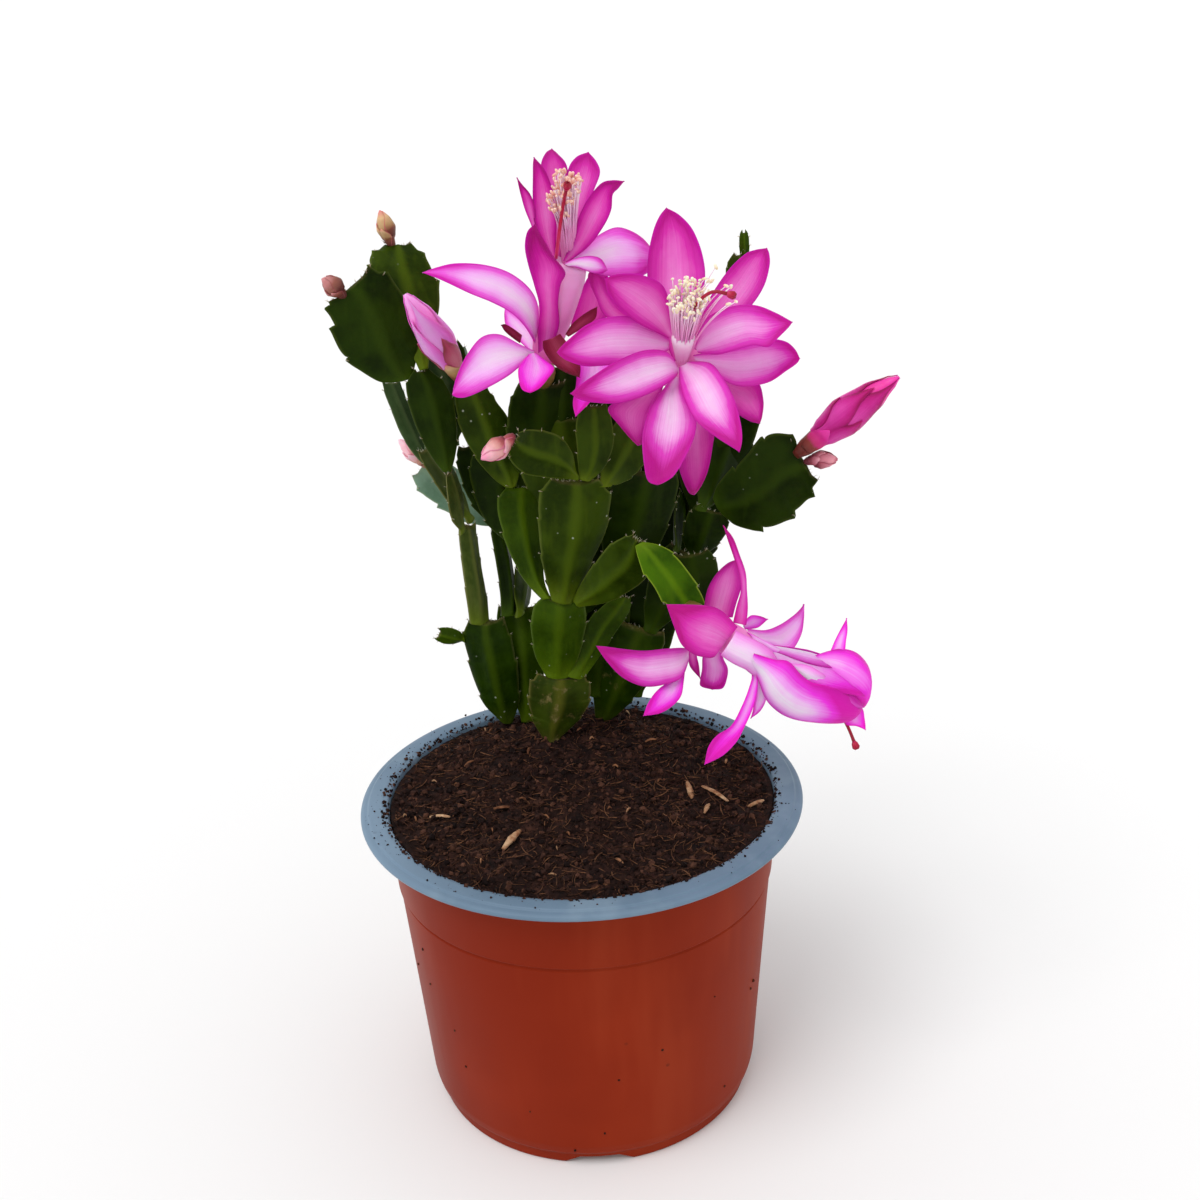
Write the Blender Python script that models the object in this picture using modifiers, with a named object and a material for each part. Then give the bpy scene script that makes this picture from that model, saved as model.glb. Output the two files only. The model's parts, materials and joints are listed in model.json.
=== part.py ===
"""Potted christmas cactus in bloom: a 12 cm two-tone plastic pot, its soil, the flat stem segments
one on another, seven buds and three open flowers. Lengths in the tables are in millimetres, with the
pot's axis on Z, its base at z = 0 and the plant's front towards -Y."""

import math

import bmesh
import bpy
from mathutils import Quaternion, Vector

# ---------------------------------------------------------------- driving sizes, mm
RIM_R = 60.0  # outside of the rolled rim
RIM_Z = 89.4
WALL_TOP_R = 53.2  # outside of the wall under the rim
STEP_Z = 67.0  # the wall steps in a little here
FOOT_R = 45.0
WALL = 1.0
NOTCH_H = 2.4  # drain notches through the foot ring
AROUND = 48  # steps round the pot and the soil
SOIL_EDGE_Z = 86.6
MOUND = (-7.0, 28.0, 7.0, 19.0)  # x, y, height and spread of the heap at the stems
GAP = 0.3  # clearance left between neighbours
NECK = 2.3  # half width of a segment where it joins the one below

# ---------------------------------------------------------------- stem segments
# name, segment below, join across its tip, own tip (x, y, z), width, thickness, width of the
# cut-off tip as a part of the width, turn of the face, bow towards the face.
# A join of (part of the length, side) sits on the margin instead.
SEGMENTS = [
    ("left_1", "soil", (-21.5, 38.5), (-22, 34, 127), 22, 7.5, 0.80, 0, 0),
    ("left_pad", "left_1", (0.84, -1), (-38.5, 31, 123.5), 5.5, 2.6, 0.50, 0, 0),
    ("left_2", "left_1", -3.6, (-28, 28, 157), 17, 5.4, 0.70, 68, 1),
    ("left_3", "left_1", 3.4, (-19.5, 42, 152), 13, 4.6, 0.70, 68, 0),
    ("left_4", "left_1", 8.4, (-13, 49, 140), 11, 3.4, 0.60, 60, 0),
    ("left_5", "left_2", -2.5, (-31, 24, 173.5), 10, 2.8, 0.60, 74, 0),
    ("left_6", "left_5", 0, (-35.5, 22, 201.5), 11.5, 3.0, 0.79, 25, 0),
    ("left_7", "left_6", -2.4, (-50.5, 18, 226.5), 23, 3.0, 0.56, 22, 0),
    ("left_8", "left_6", 2.6, (-40.5, 37, 230), 18.5, 3.2, 0.5, 20, -4),
    ("left_9", "left_2", 3.4, (-38, 34, 177), 10, 2.8, 0.60, 70, 0),
    ("left_10", "left_9", -2.3, (-45.8, 38, 195), 8, 2.6, 0.60, 35, 0),
    ("left_11", "left_9", 2.4, (-29, 48, 202), 12.5, 2.6, 0.55, 20, 0),
    ("left_12", "left_3", -2.2, (-26, 43, 175), 11, 2.8, 0.60, 15, 0),
    ("left_13", "left_3", 2.4, (-41, 50, 167), 12, 2.6, 0.55, 10, 0),
    ("centre_1", "soil", (-8.3, 22.3), (-4, 23, 111), 18, 8.5, 0.90, 0, 0),
    ("centre_2", "centre_1", -2.6, (-4, 19, 137), 15.5, 5.4, 0.80, 0, 0),
    ("centre_3", "centre_1", 5.8, (13, 28, 137), 13, 3.4, 0.60, 25, 0),
    ("centre_4", "centre_2", -3.6, (-12, 27, 168), 18, 4.4, 0.84, 25, 0),
    ("centre_5", "centre_2", 0.8, (3, 13, 172), 20, 6.0, 0.84, 15, 1.0),
    ("centre_6", "centre_2", 5.8, (18, 5, 156), 13.5, 3.2, 0.70, 0, 2),
    ("centre_7", "centre_4", -4.4, (-24, 27, 196), 16, 3.4, 0.60, 4, -1.5),
    ("centre_8", "centre_4", 3.4, (-5, 24, 196), 18.5, 3.6, 0.70, 20, 0),
    ("centre_9", "centre_5", -2.2, (-12, 0, 187), 12.6, 2.2, 0.60, 0, 3.0),
    ("centre_10", "centre_5", 2.8, (8, 12, 196), 13, 3.0, 0.60, 15, 0),
    ("centre_11", "centre_5", 7.2, (20, 24, 184), 14, 2.8, 0.60, 20, 0),
    ("right_1", "soil", (7, 36.5), (19, 33, 122), 17.5, 6.0, 0.80, 0, 0),
    ("right_2", "right_1", 3.0, (33, 30, 145), 14.5, 4.0, 0.80, 0, 0),
    ("right_3", "centre_3", 0, (22, 24, 171), 20, 4.4, 0.80, 10, 0),
    ("right_4", "right_3", 5.0, (33, 18, 189.6), 13, 3.0, 0.60, 0, 0),
    ("right_5", "centre_6", 1.5, (30, -3, 143.5), 11, 2.8, 0.60, 0, 1.6),
    ("right_6", "right_2", -3.4, (32, 37, 160), 11, 3.2, 0.60, 70, 0),
    ("right_7", "right_2", 2.0, (39, 26, 158.5), 12, 3.2, 0.74, 0, 0),
    ("right_8", "right_7", -2.6, (46, 35, 177), 12, 3.0, 0.60, 20, 0),
    ("right_9", "right_7", 3.0, (62, 18, 174.6), 24, 3.4, 0.62, 0, 1),
    ("right_10", "right_8", 0, (48, 32, 202), 11, 2.8, 0.60, 20, 0),
    ("right_11", "right_10", 0, (47, 28, 226.5), 8, 2.4, 0.35, 20, 0),
]

# name, segment below, join across its tip, tip, width
BUDS = [
    ("bud_1", "left_8", 0, (-44.2, 36, 240.4), 4.8),
    ("bud_2", "left_7", -2.4, (-57.9, 15, 227.1), 5.0),
    ("bud_3", "centre_7", -0.6, (-37.0, 4, 225.5), 10.2),
    ("bud_4", "left_13", 1.0, (-45, 46, 177), 4.6),
    ("bud_5", "centre_9", 0, (-20.2, -7, 186.6), 5.6),
    ("bud_6", "right_9", -2.6, (85.3, 10, 197.6), 10.0),
    ("bud_7", "right_9", 2.8, (71, 15, 174.9), 4.7),
]

# Each flower: segment below, join, ovary's top, where the lower tube ends, throat, stamens' top, then
# the tepals: part (lower or upper tube), place along that tube, tip, width, bow, the way the inner
# face looks (or None for along the flower's axis).
FLOWERS = {
    "flower_1": {
        "on": ("centre_8", 0.5),
        "axis": [(-3.6, 22.6, 203), (-0.6, 18.6, 217), (2.9, 14, 230.3)],
        "tube_r": (2.8, 4.8, 6.2),
        "stamens": (3.2, 6.6, 246),
        "style": [(-0.6, 3.0), (3.6, 1.4, 250.1), (0, -0.4, 0)],
        "tepals": [
            ("lower", 0.66, (-32.3, 9, 229), 12.5, 6, (0.2, -0.8, 0.6)),
            ("lower", 0.35, (-26.4, 0, 200.4), 13.5, 5, (-0.2, -0.8, 0.5)),
            ("lower", 0.15, (-8.2, -3, 201.3), 9.5, 3, None),
            ("lower", 0.50, (-14.5, 33, 214.4), 10, 3, (-0.3, -0.9, 0.1)),
            ("lower", 0.25, (10.5, 12, 218), 4.5, 0.5, (0, -1, 0)),
            ("lower", 0.60, (16.9, 34, 215), 10, 3, (0, -0.9, 0.2)),
            ("upper", 0.90, (25, 24.5, 229), 12.5, 4, (0, -0.8, 0.6)),
            ("upper", 0.97, (-0.5, 24, 255.2), 12, -1.5, None),
            ("upper", 0.97, (-4.6, 12, 254.7), 9, -1.5, (0.5, -0.8, 0)),
            ("upper", 0.97, (9.5, 23, 253.9), 13, -1.5, None),
            ("upper", 0.97, (17.4, 8, 248.8), 10, -1, (-0.4, -0.8, 0)),
            ("upper", 0.75, (-10.0, 7, 250.6), 6, -1, None),
            ("upper", 0.45, (-4.8, 1, 240.4), 10, 1.5, (0, -1, 0)),
        ],
    },
    "flower_2": {
        "on": ("right_4", 0.5),
        "axis": [(32.3, 14.4, 196.0), (31.4, 10.8, 200.4), (30.2, 6.2, 205.2)],
        "tube_r": (2.6, 3.6, 5.2),
        "stamens": (30.6, -9, 224),
        "style": [(3.0, 1.0), (40.5, -13, 225.2), (-2.0, -1, 4)],
        "tepals": [
            ("lower", 0.66, (47.6, -6, 191.6), 10, 4, None),
            ("lower", 0.66, (29.9, -19, 178.6), 9, 5, None),
            ("lower", 0.66, (16.5, -11, 189), 11, 4, None),
            ("lower", 0.66, (8.6, 13, 228), 8, 3, (0.3, -0.9, 0.2)),
            ("upper", 0.70, (57.5, -5, 206), 12, 5, None),
            ("upper", 0.70, (-0.7, -9, 212.5), 11.5, 4, None),
            ("upper", 0.95, (27.7, 17, 240.5), 14.5, -3, None),
            ("upper", 0.95, (51.7, 11, 230.8), 13, -2, None),
            ("upper", 0.95, (55.7, -5, 216.3), 12, 4, None),
            ("upper", 0.95, (40.5, -26, 190.4), 12.5, 7, None),
            ("upper", 0.95, (19.3, -28, 184.4), 14, 7, None),
            ("upper", 0.95, (1.9, -22, 206.0), 12.5, 5, None),
            ("upper", 0.95, (11.0, -2, 228.3), 13.5, 2, None),
        ],
    },
    "flower_3": {
        "on": ("right_5", 0.5),
        "axis": [(34.2, -7.4, 138.2), (41.0, -10.0, 132.8), (48.2, -12, 128.5)],
        "tube_r": (2.8, 4.6, 5.4),
        "stamens": (56.5, -13.8, 125.6),
        "style": [(0.4, -2.2), (71.8, -18, 107.5), (0.8, 0, 2.0)],
        "tepals": [
            ("lower", 0.60, (38.4, -8, 166.2), 6.5, 3, (1, -0.5, 0)),
            ("lower", 0.60, (43.5, 1, 154.1), 9.5, -2, (0.35, -1, 0.2)),
            ("lower", 0.62, (23.2, -17, 149.3), 12, 3, (0, -0.7, 0.7)),
            ("lower", 0.40, (5.4, -17, 138.8), 10.5, 3, (0, -0.85, 0.5)),
            ("lower", 0.45, (17.4, -21, 120.6), 8, 2, (0.3, -0.9, 0.2)),
            ("lower", 0.50, (28.5, -2, 119.1), 9, 3, (0, -1, 0.2)),
            ("upper", 0.45, (51.7, 6, 134.3), 4.5, 1, (0, -1, 0.2)),
            ("upper", 0.72, (61, 5, 138.6), 11, 3, (-0.3, -0.9, 0.3)),
            ("upper", 0.80, (31.6, -24, 108.1), 8, 5, (0.6, -0.7, 0)),
            ("upper", 0.95, (74.5, -14, 122.0), 19, -7.5, (0.2, 0.3, -1)),
            ("upper", 0.95, (73.5, -20, 117), 17, -6, (0, 1, 0.5)),
            ("upper", 0.95, (72.0, -8, 117), 15, -5, (0, -1, 0.3)),
            ("upper", 0.95, (74.3, -12, 110.2), 9, -3, (0.3, 0, 1)),
            ("upper", 0.95, (70.1, -5, 138.0), 8, -1, (0, -1, 0)),
        ],
    },
}

# ---------------------------------------------------------------- scene and materials
for old in list(bpy.data.objects):
    bpy.data.objects.remove(old)


def collection(name, hidden=False):
    made = bpy.data.collections.new(name)
    bpy.context.scene.collection.children.link(made)
    made.hide_render = hidden
    return made


PARTS = collection("potted_christmas_cactus")
CUTTERS = collection("cutters", hidden=True)


def material(name, colour, roughness):
    made = bpy.data.materials.new(name)
    made.use_nodes = True
    shader = made.node_tree.nodes["Principled BSDF"]
    shader.inputs["Base Color"].default_value = (*colour, 1)
    shader.inputs["Roughness"].default_value = roughness
    return made


TERRACOTTA = material("terracotta_plastic", (0.32, 0.055, 0.025), 0.5)
PEAT = material("peat", (0.035, 0.016, 0.011), 1.0)
STEM = material("stem_green", (0.045, 0.10, 0.02), 0.45)
BUD = material("bud_pink", (0.75, 0.16, 0.28), 0.45)
OVARY = material("ovary_green", (0.22, 0.16, 0.05), 0.5)
PETAL = material("petal_magenta", (0.72, 0.05, 0.45), 0.5)
STAMEN = material("stamen_cream", (0.85, 0.72, 0.45), 0.6)
STYLE = material("style_crimson", (0.42, 0.0, 0.05), 0.4)


def placed(bm, name, surface, group=PARTS):
    """The bmesh, in millimetres, as an object of the given material, in metres."""
    bmesh.ops.scale(bm, vec=(0.001, 0.001, 0.001), verts=bm.verts)
    bmesh.ops.recalc_face_normals(bm, faces=bm.faces)
    mesh = bpy.data.meshes.new(name)
    bm.to_mesh(mesh)
    bm.free()
    mesh.materials.append(surface)
    made = bpy.data.objects.new(name, mesh)
    group.objects.link(made)
    if group is CUTTERS:
        made.hide_render = True
        made.display_type = "WIRE"
    return made


def boolean(obj, operation, other):
    modifier = obj.modifiers.new(operation.lower(), "BOOLEAN")
    modifier.operation = operation
    modifier.solver = "EXACT"
    if isinstance(other, bpy.types.Collection):
        modifier.operand_type = "COLLECTION"
        modifier.collection = other
    else:
        modifier.object = other


# ---------------------------------------------------------------- pot
def turned(profile, name, surface):
    """A body turned round Z from (radius, height) points that run down its outside."""
    bm = bmesh.new()
    points = [bm.verts.new((r, 0, z)) for r, z in profile]
    for a, b in zip(points, points[1:]):
        bm.edges.new((a, b))
    bmesh.ops.scale(bm, vec=(0.001, 0.001, 0.001), verts=bm.verts)
    mesh = bpy.data.meshes.new(name)
    bm.to_mesh(mesh)
    bm.free()
    mesh.materials.append(surface)
    made = bpy.data.objects.new(name, mesh)
    PARTS.objects.link(made)
    screw = made.modifiers.new("turn", "SCREW")
    screw.steps = screw.render_steps = AROUND
    screw.use_merge_vertices = True
    screw.merge_threshold = 0.00001
    return made


def wall_r(z):
    """Outside radius of the wall at height z."""
    step_r = WALL_TOP_R - 1.5
    if z > STEP_Z:
        return step_r + (WALL_TOP_R - step_r) * (z - STEP_Z) / (RIM_Z - STEP_Z)
    return 46.2 + (step_r - 0.5 - 46.2) * z / STEP_Z


INNER_WALL = [
    (0, 1.2), (11.5, 1.2), (13.5, 3.8), (FOOT_R - WALL - 1.5, 3.8), (wall_r(6) - WALL, 6.2),
    (wall_r(STEP_Z - 1) - WALL, STEP_Z - 1.4), (wall_r(STEP_Z + 0.1) - WALL, STEP_Z - 0.4),
    (WALL_TOP_R - WALL, RIM_Z - 2.2), (WALL_TOP_R - 0.5, RIM_Z - 0.6),
]
POT_PROFILE = INNER_WALL + [
    (WALL_TOP_R + 1.0, RIM_Z), (RIM_R - 1.6, RIM_Z), (RIM_R - 0.4, RIM_Z - 0.7), (RIM_R, RIM_Z - 2.0),
    (RIM_R - 0.3, RIM_Z - 3.6), (RIM_R - 1.4, RIM_Z - 3.9), (RIM_R - 1.6, RIM_Z - 1.6),
    (WALL_TOP_R + 0.6, RIM_Z - 1.4), (wall_r(86), 86.0), (wall_r(STEP_Z + 0.1), STEP_Z + 0.5),
    (wall_r(STEP_Z - 0.1), STEP_Z - 0.5), (wall_r(7), 7.0), (46.2, 4.6), (FOOT_R + 0.2, 3.5),
    (FOOT_R, 3.0), (FOOT_R - 0.3, 0), (FOOT_R - 3.6, 0), (FOOT_R - 4.0, 2.6), (13.0, 2.6), (12.0, 0),
    (0, 0),
]
pot = turned(POT_PROFILE, "pot", TERRACOTTA)


def wedge(name, half_low, half_high, height, near, far, angle):
    """A notch cutter: a trapezium across the foot ring, run from radius near to radius far."""
    bm = bmesh.new()
    corners = [(-half_low - 0.4, -1), (half_low + 0.4, -1), (half_high, height), (-half_high, height)]
    ends = [[bm.verts.new((x, -y, z)) for x, z in corners] for y in (near, far)]
    bm.faces.new(ends[0])
    bm.faces.new(ends[1][::-1])
    for i in range(4):
        j = (i + 1) % 4
        bm.faces.new((ends[0][i], ends[0][j], ends[1][j], ends[1][i]))
    made = placed(bm, name, TERRACOTTA, CUTTERS)
    made.rotation_euler.z = angle
    return made


for i in range(4):
    boolean(pot, "DIFFERENCE", wedge(f"notch_{i}", 9.5, 4.8, NOTCH_H, 38, 52, i * math.pi / 2))
for i in range(6):
    bm = bmesh.new()
    bmesh.ops.create_cone(bm, cap_ends=True, segments=12, radius1=3, radius2=3, depth=12)
    a = math.radians(30 + 60 * i)
    bmesh.ops.translate(bm, vec=(27 * math.cos(a), 27 * math.sin(a), 3), verts=bm.verts)
    boolean(pot, "DIFFERENCE", placed(bm, f"drain_{i}", TERRACOTTA, CUTTERS))


# ---------------------------------------------------------------- soil
def soil_z(x, y):
    """Height of the soil's top: flat at the rim, heaped at the stems, with slow lumps."""
    heap = math.exp(-((x - MOUND[0]) ** 2 + (y - MOUND[1]) ** 2) / (2 * MOUND[3] ** 2))
    lumps = 0.5 * math.sin(0.21 * x + 0.6) * math.cos(0.17 * y)
    inside = max(0.0, 1 - (math.hypot(x, y) / 52) ** 6)
    return SOIL_EDGE_Z + (MOUND[2] * heap + lumps) * inside


def ring(bm, radius, height):
    """A ring of vertices round Z, at a height or at the soil's own height."""
    made = []
    for i in range(AROUND):
        a = 2 * math.pi * i / AROUND
        x, y = radius * math.cos(a), radius * math.sin(a)
        made.append(bm.verts.new((x, y, soil_z(x, y) if height is None else height)))
    return made


def bridge(bm, low, high):
    for i in range(len(low)):
        j = (i + 1) % len(low)
        bm.faces.new((low[i], low[j], high[j], high[i]))


bm = bmesh.new()
fit = WALL + GAP
rings = [ring(bm, 20, 4.4), ring(bm, FOOT_R - 1.5 - fit, 4.4), ring(bm, wall_r(6) - fit, 7.2)]
rings += [ring(bm, wall_r(60) - fit, 60), ring(bm, wall_r(84) - fit - 0.6, SOIL_EDGE_Z - 1)]
rings += [ring(bm, r, None) for r in (51.0, 46, 38, 29, 20, 11)]
for low, high in zip(rings, rings[1:]):
    bridge(bm, low, high)
bm.faces.new(rings[0][::-1])
middle = bm.verts.new((0, 0, soil_z(0, 0)))
for i in range(AROUND):
    bm.faces.new((rings[-1][i], rings[-1][(i + 1) % AROUND], middle))
placed(bm, "soil", PEAT)


# ---------------------------------------------------------------- lofts
def across(direction, turn):
    """Side and face vectors for a blade along direction: with no turn, its face is to the front."""
    face = Vector((0, -1, 0)) - direction * -direction.y
    if face.length < 0.3:
        face = Vector((0, 0, 1)) - direction * direction.z
    face.normalize()
    face.rotate(Quaternion(direction, math.radians(turn)))
    return direction.cross(face), face


def bent(base, tip, offset, s):
    """A point on the arc from base to tip that passes offset to the side of their middle."""
    middle = (base + tip) / 2 + 2 * offset
    return base * (1 - s) ** 2 + middle * 2 * s * (1 - s) + tip * s * s


def loft(bm, sections):
    """Skins rings of equal count and closes both ends across, point against opposite point."""
    rings = [[bm.verts.new(p) for p in section] for section in sections]
    for low, high in zip(rings, rings[1:]):
        bridge(bm, low, high)
    for end, flip in ((rings[0], True), (rings[-1], False)):
        count = len(end)
        for i in range(count // 2):
            loop = [end[i], end[i + 1], end[count - 1 - i], end[(count - i) % count]]
            loop = list(dict.fromkeys(loop))
            if len(loop) > 2:
                bm.faces.new(loop[::-1] if flip else loop)


LENS = [(-1, 0), (-0.55, -0.62), (0, -1), (0.55, -0.62), (1, 0), (0.55, 0.62), (0, 1), (-0.55, 0.62)]
# part of the length, part of the width
YOUNG = [(0, 0), (0.14, 0.42), (0.28, 0.85), (0.34, 0.84), (0.60, 1.0), (0.66, 0.92), (0.88, 0.92), (1, 0)]
OLD = [(0, 0), (0.12, 0.42), (0.26, 0.66), (0.45, 0.86), (0.62, 0.97), (0.78, 1.0), (0.92, 0.97), (1, 0)]
HORN = 0.9  # how far the corners of a cut-off tip stand up
made_segments = {}


def join_point(below, join):
    """Where something sits on a segment, and the way it first grows."""
    if below == "soil":
        x, y = join
        return Vector((x, y, soil_z(x, y) + GAP + 0.3)), Vector((0, 0, 1))
    base, tip, side, face, half, top, offset = made_segments[below]
    if isinstance(join, tuple):
        s, way = join
        return bent(base, tip, offset, s) + side * way * (half + GAP), side * way
    grow = (tip - bent(base, tip, offset, 0.96)).normalized()
    along = (side - grow * side.dot(grow)).normalized()
    reach = (abs(join) + NECK) / (half * top)
    rise = HORN * min(1.0, max(0.0, (reach - 0.55) / 0.45))
    return tip + along * join + grow * (rise + GAP), grow


def segment(name, below, join, tip, width, thick, top, turn, bow):
    base, grow = join_point(below, join)
    tip = Vector(tip)
    direction = (tip - base).normalized()
    side, face = across(direction, turn)
    offset = face * bow
    half = width / 2
    made_segments[name] = (base, tip, side, face, half, top, offset)
    sections = []
    for s, part in OLD if top >= 0.8 else YOUNG:
        at = bent(base, tip, offset, s)
        wide, deep, up, lift = half * part, thick / 2 * (0.55 + 0.45 * math.sin(math.pi * s)), direction, 0
        if s == 0:
            wide, deep, up = min(NECK, half * 0.55), min(1.2, thick * 0.4), grow
        elif s == 1:
            wide, deep, lift = half * top, thick * 0.22, HORN
            up = (tip - bent(base, tip, offset, 0.96)).normalized()
        right = (side - up * side.dot(up)).normalized()
        front = right.cross(up)
        sections.append([
            at + right * (x * wide) + front * (y * deep) + up * (lift * (abs(x) == 1))
            for x, y in LENS
        ])
    bm = bmesh.new()
    loft(bm, sections)
    placed(bm, name, STEM)


for row in SEGMENTS:
    segment(*row)


def round_loft(bm, centres, radii, count=8):
    """A round body along a line of centres."""
    sections = []
    side = None
    for i, (at, r) in enumerate(zip(centres, radii)):
        up = (centres[min(i + 1, len(centres) - 1)] - centres[max(i - 1, 0)]).normalized()
        if side is None:
            side = across(up, 0)[0]
        right = (side - up * side.dot(up)).normalized()
        front = up.cross(right)
        sections.append([
            at + right * (r * math.cos(2 * math.pi * k / count)) + front * (r * math.sin(2 * math.pi * k / count))
            for k in range(count)
        ])
    loft(bm, sections)


BUD_SHAPE = [(0, 0.26), (0.1, 0.5), (0.24, 0.58), (0.3, 0.74), (0.5, 1.0), (0.75, 0.74), (0.92, 0.36), (1, 0.08)]


def bud(name, below, join, tip, width):
    base, grow = join_point(below, join)
    tip = Vector(tip)
    offset = (grow - (tip - base).normalized()) * (tip - base).length * 0.08
    bm = bmesh.new()
    centres = [bent(base, tip, offset, s) for s, _ in BUD_SHAPE]
    round_loft(bm, centres, [width / 2 * r for _, r in BUD_SHAPE])
    placed(bm, name, BUD)


for row in BUDS:
    bud(*row)

# ---------------------------------------------------------------- flowers
PETAL_OUTLINE = [(0, 0.42), (0.25, 0.74), (0.55, 1.0), (0.8, 0.78), (1, 0.08)]


def tepal(name, base, tip, look, width, bow, group):
    """A petal-like blade whose inner face looks the given way."""
    direction = (tip - base).normalized()
    face = (look - direction * look.dot(direction)).normalized()
    side = direction.cross(face)
    sections = []
    for s, part in PETAL_OUTLINE:
        at = bent(base, tip, face * bow, s)
        wide, deep = width / 2 * part, 0.45 + 0.25 * (1 - s)
        cup = width * 0.10 * part
        sections.append([
            at - side * wide + face * cup, at - face * deep, at + side * wide + face * cup, at + face * deep * 0.6,
        ])
    bm = bmesh.new()
    loft(bm, sections)
    made = placed(bm, name, PETAL, CUTTERS)
    CUTTERS.objects.unlink(made)
    group.objects.link(made)


def on_line(a, b, s):
    return a + (b - a) * s


for flower, plan in FLOWERS.items():
    low, split, throat = (Vector(p) for p in plan["axis"])
    r_low, r_split, r_throat = plan["tube_r"]
    base, grow = join_point(*plan["on"])
    axis = (throat - split).normalized()
    lower_axis = (split - low).normalized()
    bm = bmesh.new()
    mouth = low - lower_axis * GAP
    belly = on_line(base, mouth, 0.5)
    round_loft(bm, [base, base + grow * 0.8, belly, mouth - lower_axis * 1.2, mouth], [1.5, 2.3, 3.2, 2.9, r_low])
    placed(bm, f"{flower}_ovary", OVARY)
    cut = split + axis * (GAP + r_split * axis.cross(lower_axis).length)
    spans = {"lower": (low, split, r_low, r_split), "upper": (cut, throat, r_split, r_throat)}
    for part, (start, end, r_start, r_end) in spans.items():
        petals = bpy.data.collections.new(f"{flower}_{part}_petals")
        CUTTERS.children.link(petals)
        way = (end - start).normalized()
        for number, (where, place, tip, width, bow, look) in enumerate(plan["tepals"]):
            if where != part:
                continue
            tip = Vector(tip)
            centre = on_line(start, end, place)
            # an in-curved tepal stands with its back outwards, any other leans to its tip
            out = -Vector(look) if look and bow < 0 else tip - centre
            out = (out - way * out.dot(way)).normalized()
            root = centre + out * ((r_start + (r_end - r_start) * place) * 0.84)
            look = Vector(look) if look else way
            tepal(f"{flower}_{part}_{number}", root, tip, look, width, bow, petals)
        bm = bmesh.new()
        round_loft(bm, [start, on_line(start, end, 0.5), end], [r_start, (r_start + r_end) / 2, r_end], 10)
        made = placed(bm, f"{flower}_{'outer' if part == 'lower' else 'inner'}", PETAL)
        boolean(made, "UNION", petals)
    # stamens: a column of filaments that opens into a brush
    top = Vector(plan["stamens"])
    foot = throat + axis * GAP
    bm = bmesh.new()
    round_loft(bm, [foot, on_line(foot, top, 0.5), on_line(foot, top, 0.8)], [1.25, 1.6, 2.1], 8)
    column = placed(bm, f"{flower}_stamens", STAMEN)
    brush = bpy.data.collections.new(f"{flower}_brush")
    CUTTERS.children.link(brush)
    side, face = across(axis, 0)
    for k in range(7):
        a = math.atan2(plan["style"][0][1], plan["style"][0][0]) + 2 * math.pi * (k + 1) / 8
        out = side * math.cos(a) + face * math.sin(a)
        start = on_line(foot, top, 0.72) + out * 1.1
        end = top + out * (3.0 if k % 2 else 1.7) + axis * (1.0 if k % 2 else 2.4)
        bm = bmesh.new()
        line = [start, on_line(start, end, 0.7), on_line(start, end, 0.75), on_line(start, end, 0.9), end]
        round_loft(bm, line, [0.4, 0.35, 0.8, 0.8, 0.4], 5)
        made = placed(bm, f"{flower}_filament_{k}", STAMEN, CUTTERS)
        CUTTERS.objects.unlink(made)
        brush.objects.link(made)
    boolean(column, "UNION", brush)
    # style: a thin rod with a lobed knob, beside the column
    (right, forward), knob, bend = plan["style"]
    start = foot + side * right + face * forward
    knob, bend = Vector(knob), Vector(bend)
    line = [bent(start, knob, bend, s) for s in (0, 0.3, 0.6, 0.88, 0.93, 0.98, 1)]
    bm = bmesh.new()
    round_loft(bm, line, [0.5, 0.45, 0.45, 0.5, 1.0, 1.0, 0.5], 6)
    placed(bm, f"{flower}_style", STYLE)
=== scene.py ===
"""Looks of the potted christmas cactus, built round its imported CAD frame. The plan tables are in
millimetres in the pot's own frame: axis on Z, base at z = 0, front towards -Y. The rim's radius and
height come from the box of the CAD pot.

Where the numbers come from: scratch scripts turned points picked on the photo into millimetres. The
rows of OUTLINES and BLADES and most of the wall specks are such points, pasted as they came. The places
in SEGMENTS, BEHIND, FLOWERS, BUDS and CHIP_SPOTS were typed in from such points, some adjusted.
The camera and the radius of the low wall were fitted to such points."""

import json
import math
import random

import bmesh
import bpy
from mathutils import Matrix, Quaternion, Vector, noise

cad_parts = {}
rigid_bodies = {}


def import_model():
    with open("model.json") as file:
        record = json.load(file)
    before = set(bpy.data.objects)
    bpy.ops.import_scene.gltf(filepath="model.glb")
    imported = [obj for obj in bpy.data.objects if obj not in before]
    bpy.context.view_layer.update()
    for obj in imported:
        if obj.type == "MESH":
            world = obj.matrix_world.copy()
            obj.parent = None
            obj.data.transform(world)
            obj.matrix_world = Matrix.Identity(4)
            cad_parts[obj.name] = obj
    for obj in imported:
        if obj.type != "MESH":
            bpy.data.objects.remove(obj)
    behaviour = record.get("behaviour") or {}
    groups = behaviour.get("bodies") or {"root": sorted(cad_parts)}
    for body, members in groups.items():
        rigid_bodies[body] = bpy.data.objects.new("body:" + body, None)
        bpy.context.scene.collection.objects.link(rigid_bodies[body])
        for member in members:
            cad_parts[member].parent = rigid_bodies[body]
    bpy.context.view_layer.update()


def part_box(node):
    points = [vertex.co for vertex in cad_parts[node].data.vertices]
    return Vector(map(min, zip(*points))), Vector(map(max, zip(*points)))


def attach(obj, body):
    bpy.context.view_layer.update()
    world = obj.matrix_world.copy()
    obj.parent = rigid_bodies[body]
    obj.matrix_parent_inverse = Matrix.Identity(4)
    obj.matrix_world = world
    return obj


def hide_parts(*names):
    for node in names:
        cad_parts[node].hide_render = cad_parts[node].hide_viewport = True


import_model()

# ---------------------------------------------------------------- sizes, mm
POT_LOW, POT_HIGH = (Vector(corner) * 1000 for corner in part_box("pot"))
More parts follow.
